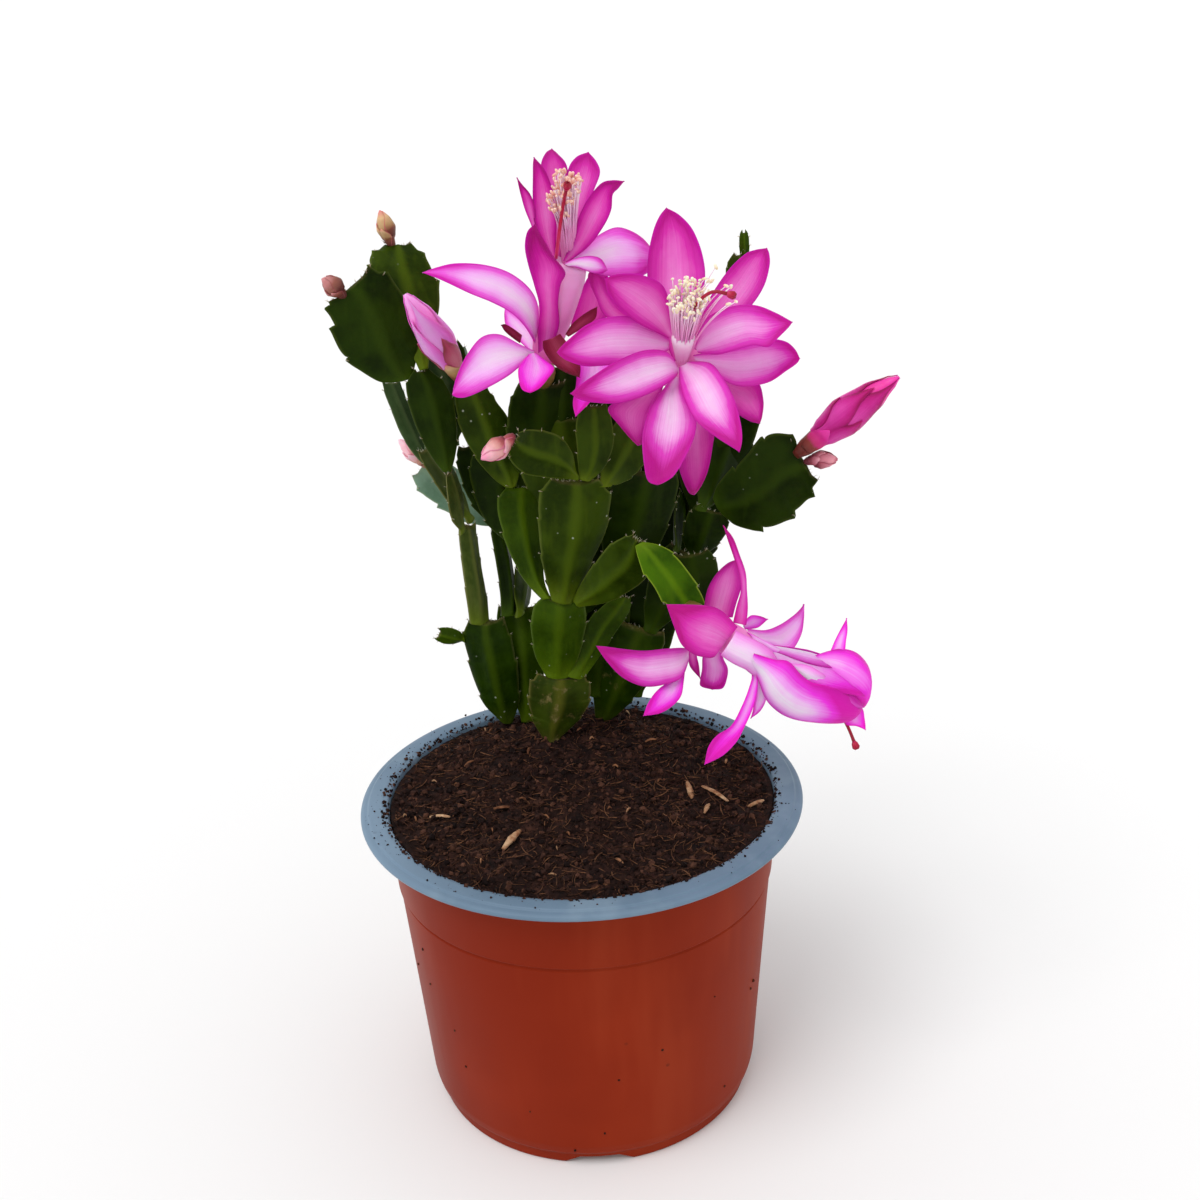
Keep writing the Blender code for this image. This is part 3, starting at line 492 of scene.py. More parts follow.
TUBE = gradient("petal_tube", [(0.0, (220, 66, 160)), (0.35, (238, 120, 200)), (0.8, (244, 160, 220)),
                               (1.0, (244, 180, 228))])
OVARY = gradient("ovary_skin", [(0.0, (96, 84, 30)), (0.5, (128, 96, 44)), (1.0, (150, 70, 60))])
BUD_SKIN = gradient("bud_skin", [(0.0, (84, 50, 24)), (0.22, (120, 80, 42)), (0.34, (206, 96, 120)),
                                 (0.75, (246, 120, 210)), (1.0, (252, 170, 240))])
BUD_SKIN_RED = gradient("bud_skin_red", [(0.0, (96, 36, 26)), (0.26, (134, 52, 44)), (0.36, (196, 40, 110)),
                                         (0.75, (226, 40, 150)), (1.0, (236, 60, 170))])
SMALL = {
    "bud_1": gradient("bud_cream", [(0.0, (92, 44, 30)), (0.28, (124, 66, 44)), (0.5, (176, 140, 92)),
                                    (0.8, (214, 176, 130)), (1.0, (216, 130, 126))], rim=(190, 96, 92)),
    "bud_2": gradient("bud_brown", [(0.0, (78, 32, 24)), (0.3, (104, 52, 42)), (0.6, (142, 82, 68)),
                                    (1.0, (206, 136, 138))], rim=(140, 64, 66)),
    "bud_4": gradient("bud_pale", [(0.0, (120, 70, 50)), (0.3, (214, 150, 130)), (0.6, (246, 190, 200)),
                                   (1.0, (250, 206, 220))], rim=(232, 130, 160)),
    "bud_5": gradient("bud_rose", [(0.0, (110, 30, 44)), (0.25, (170, 84, 84)), (0.5, (222, 158, 152)),
                                   (0.8, (238, 176, 186)), (1.0, (240, 150, 186))], rim=(222, 110, 150)),
    "bud_7": gradient("bud_wine", [(0.0, (92, 34, 40)), (0.3, (150, 66, 80)), (0.6, (200, 116, 132)),
                                   (0.9, (232, 160, 172)), (1.0, (190, 90, 110))], rim=(150, 50, 74)),
}
FILAMENT = gradient("stamen_filament", [(0.0, (228, 110, 180)), (0.5, (242, 160, 212)),
                                        (1.0, (254, 232, 244))])
ANTHER = gradient("stamen_anther", [(0.0, (240, 216, 168)), (1.0, (255, 248, 228))], bump=0.8, gloss=0.7)
ANTHER_WARM = gradient("stamen_anther_warm", [(0.0, (232, 140, 124)), (1.0, (255, 224, 206))], bump=0.8,
                       gloss=0.7)
STYLE = gradient("style_crimson", [(0.0, (216, 60, 120)), (0.3, (186, 14, 62)), (1.0, (142, 6, 40))],
                 gloss=0.34)
BRISTLE = gradient("bristle_hair", [(0.0, (120, 96, 62)), (0.5, (190, 178, 146)), (1.0, (226, 222, 204))])


def plastic(name, colour, shade, light, gloss, spec):
    """Thin moulded plastic: fine grain, soft streaks, scuffs and specks of dirt."""
    n = Nodes(name)
    broad = n.noise(16, 3)
    streak = n.noise(60, 3, 0.6, n.stretched((1, 1, 0.12)))
    grain = n.noise(2600, 2)
    tone = n.mix(n.span(broad, 0.35, 0.68), shade, colour)
    tone = n.mix(n.maths("MULTIPLY", n.span(streak, 0.5, 0.75), 0.30), tone, light)
    scuff = n.noise(420, 6, 0.75, n.stretched((1, 1, 0.35)))
    scuffs = n.maths("MULTIPLY", n.span(scuff, 0.66, 0.74), n.span(n.noise(26, 2), 0.5, 0.66))
    tone = n.mix(n.maths("MULTIPLY", scuffs, 0.5), tone, light)
    dirt = n.maths("MULTIPLY", n.span(n.cells(150).outputs["Distance"], 0.05, 0.12, 1.0, 0.0),
                   n.span(n.noise(30, 2), 0.60, 0.66))
    tone = n.mix(n.maths("MULTIPLY", dirt, 0.8), tone, srgb(44, 24, 18))
    rough = n.maths("ADD", n.span(streak, 0.3, 0.7, gloss - 0.04, gloss + 0.06),
                    n.maths("MULTIPLY", scuffs, 0.2))
    height = n.maths("ADD", n.maths("MULTIPLY", grain, 0.25), n.maths("ADD", broad, scuffs))
    return n.finish(tone, rough, n.bump(height, 0.00012, 0.5), Specular_IOR_Level=spec)


TERRACOTTA = plastic("pot_terracotta", srgb(138, 42, 16), srgb(126, 35, 12), srgb(156, 62, 34), 0.42, 0.05)
BLUE_GREY = plastic("pot_blue_grey", srgb(118, 141, 162), srgb(98, 120, 140), srgb(146, 166, 180), 0.40, 0.15)


def earth(name, dark, mid, light, scale):
    n = Nodes(name)
    value = n.maths("ADD", n.noise(scale, 6, 0.7), n.maths("MULTIPLY",
                                                           n.maths("SUBTRACT", n.mark("seed"), 0.5), 0.5))
    colour = n.ramp(value, (0.30, dark), (0.55, mid), (0.85, light))
    rough = n.span(n.noise(scale * 0.6, 2), 0.3, 0.7, 0.75, 0.98)
    return n.finish(colour, rough, n.bump(n.noise(scale * 1.6, 5, 0.7), 0.0004, 0.9), Specular_IOR_Level=0.12)


PEAT = earth("peat_bed", srgb(18, 9, 8), srgb(38, 22, 18), srgb(72, 44, 34), 700)
CRUMB = earth("peat_crumb", srgb(20, 10, 9), srgb(46, 27, 22), srgb(92, 60, 46), 500)
FIBRE = earth("peat_fibre", srgb(34, 19, 14), srgb(68, 43, 30), srgb(128, 88, 62), 500)
CHIP = earth("bark_chip", srgb(88, 54, 36), srgb(146, 100, 70), srgb(206, 172, 136), 420)


# ---------------------------------------------------------------- pieces
def dress(obj, slot, *nodes):
    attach(obj, "root")
    if nodes:
        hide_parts(*nodes)
    return obj


def outward(mesh):
    """Turns the faces of a closed mesh outwards."""
    bm = bmesh.new()
    bm.from_mesh(mesh)
    bmesh.ops.recalc_face_normals(bm, faces=bm.faces)
    bm.to_mesh(mesh)
    bm.free()


def polar(r, a, z):
    return Vector((r * math.cos(a), r * math.sin(a), z))


def jitter(source):
    return Vector([source.uniform(-1, 1) for _ in range(3)])


def section(count):
    """Round the section of a flat piece: how far across each point is, and on which face."""
    return [math.cos(math.tau * k / count) for k in range(count)], [1 if k < count / 2 else -1
                                                                    for k in range(count)]


def looked_up(table, s, soft=0.0):
    """The value at s of a table of (s, value), straight or softened between its rows."""
    for (a, p), (b, q) in zip(table, table[1:]):
        if s <= b:
            t = (s - a) / (b - a)
            return lerp(p, q, smooth(0, 1, t) * soft + (1 - soft) * t)
    return table[-1][1]


class Heap:
    """Gathers closed shapes, in mm, into one mesh, with a value along and a seed at each vertex."""

    def __init__(self):
        self.points, self.faces, self.marks = [], [], {"along": [], "across": [], "seed": []}

    def rings(self, rings, along, across=None, seed=0.0):
        """Skins rings of equal count and closes both ends."""
        first, count = len(self.points), len(rings[0])
        for ring, s in zip(rings, along):
            self.points += ring
            self.marks["along"] += [s] * count
            self.marks["across"] += across or [0.0] * count
            self.marks["seed"] += [seed] * count
        for r in range(len(rings) - 1):
            a, b = first + r * count, first + (r + 1) * count
            for i in range(count):
                j = (i + 1) % count
                self.faces.append((a + i, a + j, b + j, b + i))
        last = first + (len(rings) - 1) * count
        for i in range(1, (count + 1) // 2):
            cap = list(dict.fromkeys((i - 1, i, count - i, (count - i + 1) % count)))
            if len(cap) > 2:
                self.faces.append(tuple(first + k for k in reversed(cap)))
                self.faces.append(tuple(last + k for k in cap))

    def tube(self, centres, radii, count=6, seed=0.0, squash=1.0):
        rings, side = [], None
        for i, (at, r) in enumerate(zip(centres, radii)):
            up = (centres[min(i + 1, len(centres) - 1)] - centres[max(i - 1, 0)]).normalized()
            if side is None:
                side = across(up, 0)[0]
            side = (side - up * side.dot(up)).normalized()
            front = up.cross(side)
            turns = [math.tau * k / count for k in range(count)]
            rings.append([at + side * (r * math.cos(a)) + front * (r * squash * math.sin(a)) for a in turns])
        self.rings(rings, [i / (len(rings) - 1) for i in range(len(rings))], seed=seed)

    def ball(self, at, radii, turn, seed):
        """A lumpy grain."""
        low, high = 3, 5
        rings = []
        for i in range(low + 1):
            a = math.pi * (i + 0.25) / (low + 0.5)
            ring = []
            for k in range(high):
                b = math.tau * k / high
                p = Vector((math.sin(a) * math.cos(b), math.sin(a) * math.sin(b), -math.cos(a)))
                p *= 1 + rng.uniform(-LUMPY, LUMPY)
                ring.append(at + turn @ Vector((p.x * radii[0], p.y * radii[1], p.z * radii[2])))
            rings.append(ring)
        self.rings(rings, [i / low for i in range(low + 1)], seed=seed)

    def build(self, name, *materials, smooth=True, indices=None):
        mesh = bpy.data.meshes.new(name)
        mesh.from_pydata([p * 0.001 for p in self.points], [], self.faces)
        for key, values in self.marks.items():
            mesh.attributes.new(key, "FLOAT", "POINT").data.foreach_set("value", values)
        for material in materials:
            mesh.materials.append(material)
        if indices:
            mesh.polygons.foreach_set("material_index", indices)
        mesh.update()
        outward(mesh)
        if smooth:
            mesh.shade_smooth()
        made = bpy.data.objects.new(name, mesh)
        bpy.context.scene.collection.objects.link(made)
        return made


def across(direction, turn):
    face = Vector((0, -1, 0)) - direction * -direction.y
    if face.length < 0.3:
        face = Vector((0, 0, 1)) - direction * direction.z
    face.normalize()
    face.rotate(Quaternion(direction, math.radians(turn)))
    return direction.cross(face), face


def bent(base, tip, offset, s):
    middle = (base + tip) / 2 + 2 * offset
    return base * (1 - s) ** 2 + middle * 2 * s * (1 - s) + tip * s * s


def slope(base, tip, offset, s):
    middle = (base + tip) / 2 + 2 * offset
    return ((middle - base) * (1 - s) + (tip - middle) * s).normalized()


def flowing(points, count):
    """A smooth curve through the points."""
    made = []
    for i in range(count):
        t = i / (count - 1) * (len(points) - 1)
        k = min(int(t), len(points) - 2)
        t -= k
        a, b = points[max(k - 1, 0)], points[k]
        c, d = points[k + 1], points[min(k + 2, len(points) - 1)]
        made.append(0.5 * (2 * b + (c - a) * t + (2 * a - 5 * b + 4 * c - d) * t * t
                           + (3 * b - a - 3 * c + d) * t ** 3))
    return made


def edges_of(stations, first, last, arch=0.0, lean=0.0, slant=0.0):
    """The two edges of a flat piece: y runs from first to last, and leans with z or slants with x."""
    edges = [], []
    for i, row in enumerate(stations):
        t = i / (len(stations) - 1)
        y = lerp(first, last, t) - arch * 4 * t * (1 - t)
        row = row if len(row) == 4 else row * 2
        for edge, x, z in zip(edges, row[::2], row[1::2]):
            edge.append(Vector((x, y + lean * (z - (row[1] + row[3]) / 2)
                                + slant * (x - (row[0] + row[2]) / 2), z)))
    return edges


def smooth(a, b, x):
    t = min(1.0, max(0.0, (x - a) / (b - a)))
    return t * t * (3 - 2 * t)


def lerp(a, b, t):
    return a + (b - a) * t


# ---------------------------------------------------------------- pot
def wall_r(z):
    step_r = WALL_TOP_R - 1.5
    if z > STEP_Z:
        return step_r + (WALL_TOP_R - step_r) * (z - STEP_Z) / (RIM_Z - STEP_Z)
    return LOW_WALL_R + (step_r - 0.5 - LOW_WALL_R) * z / STEP_Z


def rounded(points, radius, steps=4):
    """The profile with each corner cut to a small arc."""
    made = [points[0]]
    for a, b, c in zip(points, points[1:], points[2:]):
        a, b, c = Vector(a), Vector(b), Vector(c)
        r = min(radius, (a - b).length * 0.42, (c - b).length * 0.42)
        p, q = b + (a - b).normalized() * r, b + (c - b).normalized() * r
        made += [tuple(p * (1 - t) ** 2 + b * 2 * t * (1 - t) + q * t * t)
                 for t in (i / steps for i in range(steps + 1))]
    return made + [points[-1]]


INNER = [
    (0, 1.2), (11.5, 1.2), (13.5, 3.8), (FOOT_R - WALL - 1.5, 3.8), (wall_r(6) - WALL, 6.2),
    (wall_r(STEP_Z - 1) - WALL, STEP_Z - 1.4), (wall_r(STEP_Z + 0.1) - WALL, STEP_Z - 0.4),
    (WALL_TOP_R - WALL, RIM_Z - 2.2), (WALL_TOP_R - 0.5, RIM_Z - 0.6), (WALL_TOP_R + 1.0, RIM_Z),
    (RIM_R - 2.3, RIM_Z), (RIM_R - 1.9, RIM_Z - 0.6), (RIM_R - 0.9, RIM_Z - 0.7), (RIM_R - 0.2, RIM_Z - 1.1),
    (RIM_R, RIM_Z - 1.7), (RIM_R - 0.3, RIM_Z - 2.4), (RIM_R - 1.2, RIM_Z - 2.5), (RIM_R - 1.7, RIM_Z - 1.8),
    (WALL_TOP_R + 0.6, RIM_Z - 1.6),
]
OUTER = [
    (WALL_TOP_R + 0.6, RIM_Z - 1.6), (wall_r(86), 86.0), (wall_r(STEP_Z + 0.1), STEP_Z + 0.6),
    (wall_r(STEP_Z + 0.1) - 0.75, STEP_Z + 0.3), (wall_r(STEP_Z - 0.1) - 0.25, STEP_Z - 0.3),
    (wall_r(STEP_Z - 0.1), STEP_Z - 0.7), (wall_r(40), 40), (wall_r(7), 7.0), (LOW_WALL_R, 4.6),
    (FOOT_R + 0.2, 3.5), (FOOT_R, 3.0), (FOOT_R - 0.3, 0.35), (FOOT_R - 0.7, 0), (FOOT_R - 3.6, 0),
    (FOOT_R - 4.0, 2.6), (13.0, 2.6), (12.0, 0), (0, 0),
]
ROUND = 144


def turned(name, inner, outer):
    profile = rounded(inner, 0.5)[:-1]
    blue = len(profile)
    profile += rounded(outer, 0.5)
    points = [Vector((0, 0, profile[0][1]))]
    for r, z in profile[1:-1]:
        for k in range(ROUND):
            a = math.tau * k / ROUND
            wobble = 1 + 0.0012 * math.sin(2 * a + 0.6) * smooth(30, 89, z) + 0.0006 * math.sin(5 * a)
            points.append(polar(r * wobble, a, z))
    points.append(Vector((0, 0, profile[-1][1])))
    faces, kinds = [], []
    rows = len(profile) - 2
    for k in range(ROUND):
        j = (k + 1) % ROUND
        faces.append((0, 1 + k, 1 + j))
        kinds.append(1)
        for r in range(rows - 1):
            a, b = 1 + r * ROUND, 1 + (r + 1) * ROUND
            faces.append((a + k, b + k, b + j, a + j))
            kinds.append(1 if r + 1 < blue else 0)
        a = 1 + (rows - 1) * ROUND
        faces.append((a + k, len(points) - 1, a + j))
        kinds.append(0)
    heap = Heap()
    heap.points, heap.faces = points, faces
    heap.marks = {"along": [p.z / RIM_Z for p in points]}
    return heap.build(name, TERRACOTTA, BLUE_GREY, indices=kinds)


def cutter(name, points, faces):
    mesh = bpy.data.meshes.new(name)
    mesh.from_pydata([Vector(p) * 0.001 for p in points], [], faces)
    mesh.materials.append(TERRACOTTA)
    outward(mesh)
    return bpy.data.objects.new(name, mesh)


pot = turned("pot_shell", INNER, OUTER)
cutters = bpy.data.collections.new("pot_cutters")
for i in range(4):
    a = i * math.pi / 2
    cross = [(-9.9, -1), (9.9, -1), (9.3, 0.3), (5.9, NOTCH_H - 0.3), (5.2, NOTCH_H), (-5.2, NOTCH_H),
             (-5.9, NOTCH_H - 0.3), (-9.3, 0.3)]
    turn = Matrix.Rotation(a, 3, "Z")
    points = [turn @ Vector((x, -y, z)) for y in (38, 52) for x, z in cross]
    n = len(cross)
    faces = [tuple(range(n)), tuple(range(n, 2 * n))] + [(k, (k + 1) % n, n + (k + 1) % n,
                                                          n + k) for k in range(n)]
    cutters.objects.link(cutter(f"notch_{i}", points, faces))
for i in range(6):
    a = math.radians(30 + 60 * i)
    points = [(27 * math.cos(a) + 3 * math.cos(b), 27 * math.sin(a) + 3 * math.sin(b), z)
              for z in (-3, 9) for b in (math.tau * k / 32 for k in range(32))]
    faces = [tuple(range(32)), tuple(range(32, 64))] + [(k, (k + 1) % 32, 32 + (k + 1) % 32,
                                                         32 + k) for k in range(32)]
    cutters.objects.link(cutter(f"drain_{i}", points, faces))
bpy.context.scene.collection.children.link(cutters)
cut = pot.modifiers.new("cut", "BOOLEAN")
cut.operation, cut.solver, cut.operand_type, cut.collection = "DIFFERENCE", "EXACT", "COLLECTION", cutters
bpy.context.view_layer.update()
carved = bpy.data.meshes.new_from_object(pot.evaluated_get(bpy.context.evaluated_depsgraph_get()))
pot.modifiers.clear()
pot.data = carved
carved.name = "pot_shell"
carved.shade_smooth()
carved.set_sharp_from_angle(angle=math.radians(50))
for old in list(cutters.objects):
    bpy.data.objects.remove(old)
bpy.data.collections.remove(cutters)
dress(pot, "terracotta_plastic", "pot")


# ---------------------------------------------------------------- soil
def soil_z(x, y):
    heap = math.exp(-((x - MOUND[0]) ** 2 + (y - MOUND[1]) ** 2) / (2 * MOUND[3] ** 2))
    lumps = 0.5 * math.sin(0.21 * x + 0.6) * math.cos(0.17 * y)
    inside = max(0.0, 1 - (math.hypot(x, y) / SOIL_R) ** 6)
    return SOIL_EDGE_Z + (MOUND[2] * heap + lumps) * inside


def bed_z(x, y):
    """The soil's top with its lumps and crumbs."""
    p = Vector((x, y, 0))
    edge = smooth(SOIL_R, 48.5, math.hypot(x, y))
    rough = noise.noise(p * 0.16) * 1.1 + noise.noise(p * 0.45 + Vector((7, 3, 1))) * 0.75
    rough += noise.noise(p * 1.3 + Vector((2, 9, 4))) * 0.42
    return soil_z(x, y) + rough * (0.35 + 0.65 * edge) - 0.2


points, faces = [], []
RINGS, SPOKES = 110, 260
for i in range(1, RINGS + 1):
    r = SOIL_R * (i / RINGS) ** 0.9
    for k in range(SPOKES):
        a = math.tau * (k + 0.5 * (i % 2)) / SPOKES
        x, y = r * math.cos(a), r * math.sin(a)
        points.append(Vector((x, y, bed_z(x, y))))
low = len(points)
for z, r in ((80, wall_r(80) - 1.4), (30, wall_r(30) - 1.4), (6.5, 43)):
    points += [polar(r, math.tau * (k + 0.5 * (RINGS % 2)) / SPOKES, z) for k in range(SPOKES)]
for i in range(RINGS + 2):
    for k in range(SPOKES):
        j = (k + 1) % SPOKES
        a, b = i * SPOKES, (i + 1) * SPOKES
        faces.append((a + k, b + k, b + j, a + j))
points += [Vector((0, 0, bed_z(0, 0))), Vector((0, 0, 4.6))]
for k in range(SPOKES):
    j = (k + 1) % SPOKES
    faces.append((len(points) - 2, k, j))
    faces.append((len(points) - 1, (RINGS + 2) * SPOKES + j, (RINGS + 2) * SPOKES + k))
heap = Heap()
heap.points, heap.faces = points, faces
heap.marks = {"seed": [noise.noise(p * 0.25) * 0.5 + 0.5 for p in points]}
dress(heap.build("soil_bed", PEAT), "peat", "soil")


def scattered(radius=50.8):
    while True:
        x, y = rng.uniform(-radius, radius), rng.uniform(-radius, radius)
        if math.hypot(x, y) < radius:
            return x, y


def any_turn():
    return Quaternion([rng.uniform(-1, 1) for _ in range(4)]).normalized().to_matrix()


crumbs = Heap()
for _ in range(5200):
    x, y = scattered()
    r = 0.28 + 0.95 * rng.random() ** 3.2
    at = Vector((x, y, bed_z(x, y) + r * rng.uniform(-0.2, 0.5)))
    crumbs.ball(at, (r, r * rng.uniform(0.6, 1), r * rng.uniform(0.5, 0.9)), any_turn(), rng.random())
dress(crumbs.build("soil_crumbs", CRUMB, smooth=False), "peat")


def strand(heap, at, length, radius, lift, wander, seed):
    """A short curved fibre that lies at a point."""
    steps = 5
    a = rng.uniform(0, math.tau)
    way = Vector((math.cos(a), math.sin(a), lift))
    side = Vector((-way.y, way.x, 0)) * rng.uniform(-wander, wander)
    start = at - way * length / 2
    line = [start + way * length * t + side * length * 4 * t * (1 - t)
            for t in (i / (steps - 1) for i in range(steps))]
    radii = [radius * (0.35 + 0.65 * math.sin(math.pi * (0.15 + 0.7 * i / (steps - 1))))
             for i in range(steps)]
    heap.tube(line, radii, 4, seed)


fibres = Heap()
for _ in range(2600):
    x, y = scattered()
    length = rng.uniform(1.6, 5.5)
    strand(fibres, Vector((x, y, bed_z(x, y) + rng.uniform(0.0, 0.55))), length, rng.uniform(0.06, 0.17),
           rng.uniform(-0.25, 0.35), 0.2, rng.random())
dress(fibres.build("soil_fibres", FIBRE), "peat")

chips = Heap()
CHIP_SPOTS = [(-18.7, -23.5, 8.5, 60), (-20.8, -7.6, 6.5, 25), (-38.1, -10, 6.0, 160), (35.9, -6, 9.0, 140),
              (29.4, -2.6, 7.0, 95), (33.1, -12.1, 5.5, 70), (46.6, -11, 5.5, 20), (-14.3, 17, 3.5, 80),
              (20.4, 22, 3.5, 10), (8.6, -36, 3.5, 120), (-31.3, 16.7, 3.5, 40), (41, 12, 3.0, 75)]
for k in range(26):
    x, y = scattered(49)
    CHIP_SPOTS.append((x, y, rng.uniform(1.0, 2.4), rng.uniform(0, 180)))
for x, y, length, turn in CHIP_SPOTS:
    a = math.radians(turn)
    tilt = Matrix.Rotation(a, 3, "Z") @ Matrix.Rotation(rng.uniform(-0.3, 0.3), 3, "X")
    tilt = tilt @ Matrix.Rotation(rng.uniform(-0.25, 0.25), 3, "Y")
    at = Vector((x, y, bed_z(x, y) + 0.55))
    rings = []
    for t in range(9):
        s = t / 8
        half = length * 0.12 * (0.35 + 0.65 * math.sin(math.pi * (0.08 + 0.84 * s))) * rng.uniform(0.85, 1.15)
        deep = 0.22 + 0.10 * rng.random()
        bow = 0.5 * math.sin(math.pi * s)
        rings.append([at + tilt @ Vector((length * (s - 0.5), half * u, bow + deep * v))
                      for u, v in ((-1, -0.3), (-0.5, -1), (0.4, -0.9), (1, -0.2), (0.7, 0.9), (-0.4, 1))])
    chips.rings(rings, [t / 8 for t in range(9)], seed=rng.random())
dress(chips.build("bark_chips", CHIP), "peat")

spill = Heap()  # soil left on the rim, most of it at the left
for _ in range(900):  # the ragged edge of the soil against the rim
    a = rng.uniform(0, math.tau)
    out, size = 1.7 * rng.random() ** 2, 0.18 + 0.5 * rng.random() ** 2
    r = WALL_TOP_R - 0.7 + out
    at = polar(r, a, RIM_Z - 0.9 * max(0.0, 1 - out / 1.5) + size * 0.15)
    spill.ball(at, (size, size * rng.uniform(0.6, 1), size * 0.7), any_turn(), rng.random())
for _ in range(260):
    a = rng.gauss(math.pi * 1.05, 0.75) if rng.random() < 0.6 else rng.uniform(0, math.tau)
    r = WALL_TOP_R + 0.4 + 5.2 * rng.random() ** 2.4
    size = 0.10 + 0.38 * rng.random() ** 3
    at = polar(r, a, RIM_Z + size * 0.25)
    spill.ball(at, (size, size * 0.8, size * 0.6), any_turn(), rng.random())
# specks that stick to the wall: all but the last five come from points picked on the photo
for turn, z in ((-160, 47), (-150, 46), (-26, 39), (-69, 37), (-83, 30), (-42, 12), (-88, 12), (-50, 47),
                (-139, 36), (-98, 6),
                (-151, 57), (-136, 25), (-112, 18), (-28, 37.5), (40, 50), (75, 22), (130, 38), (165, 60)):
    a, size = math.radians(turn), rng.uniform(0.22, 0.5)
    at = Vector((math.cos(a), math.sin(a), 0)) * wall_r(z) + Vector((0, 0, z))
    spill.ball(at, (size, size, size * 0.9), any_turn(), rng.random())
dress(spill.build("rim_soil", CRUMB, smooth=False), "peat")

# ---------------------------------------------------------------- stem segments
made_segments = {}
tip_ends = {}
bristles = {"left": Heap(), "centre": Heap(), "right": Heap()}


def join_point(below, join):
    if below == "soil":
        x, y = join
        return Vector((x, y, soil_z(x, y) - 1.2)), Vector((0, 0, 1))
    base, tip, side, face, half, top, offset = made_segments[below]
    if isinstance(join, tuple):
        s, way = join
        return bent(base, tip, offset, s) + side * way * (half - 0.8), side * way
    grow = (tip - bent(base, tip, offset, 0.96)).normalized()
    along = (side - grow * side.dot(grow)).normalized()
    return tip + along * join - grow * 0.5, grow


def margin(top, tooth, local):
    """Points (s, part of the half width) of one margin, and where its teeth are."""
    if top >= OLD_TOP:
        line = [(0, 0.24), (0.12, 0.42), (0.26, 0.66), (0.45, 0.87), (0.62, 0.97), (0.78, 1.0),
                (0.92, 0.96), (1, top)]
        teeth = [0.30 + local.uniform(-0.04, 0.04), 0.56 + local.uniform(-0.04, 0.04),
                 0.80 + local.uniform(-0.03, 0.03)]
    else:
        line = [(0, 0.22), (0.08, 0.34), (0.18, 0.60), (0.30, 0.83), (0.45, 0.95), (0.62, 1.0),
                (0.80, 0.97), (0.93, 0.84), (1, top)]
        teeth = [0.34 + local.uniform(-0.04, 0.04), 0.62 + local.uniform(-0.04, 0.04),
                 0.88 + local.uniform(-0.02, 0.02)]
    return line, teeth, tooth


def teeth_at(plan, s):
    """Each tooth swells to its point and drops behind it."""
    part = 0.0
    for at in plan[1]:
        d = s - at
        part += plan[2] * (math.exp(d / 0.045) if d < 0 else -0.75 * math.exp(-d / 0.05)
                           + 1.75 * math.exp(-d / 0.008))
    return part


def width_at(plan, s):
    return looked_up(plan[0], s) + teeth_at(plan, s)


def tuft(heap, at, way, count, length, spread):
    for _ in range(count):
        d = (way + jitter(rng) * spread).normalized()
        l = length * rng.uniform(0.5, 1.1)
        curl = jitter(rng) * l * 0.12
        r = rng.uniform(0.05, 0.085)
        heap.tube([at - d * 0.3, at + d * l * 0.5 + curl, at + d * l], [r, r * 0.8, r * 0.15], 3)


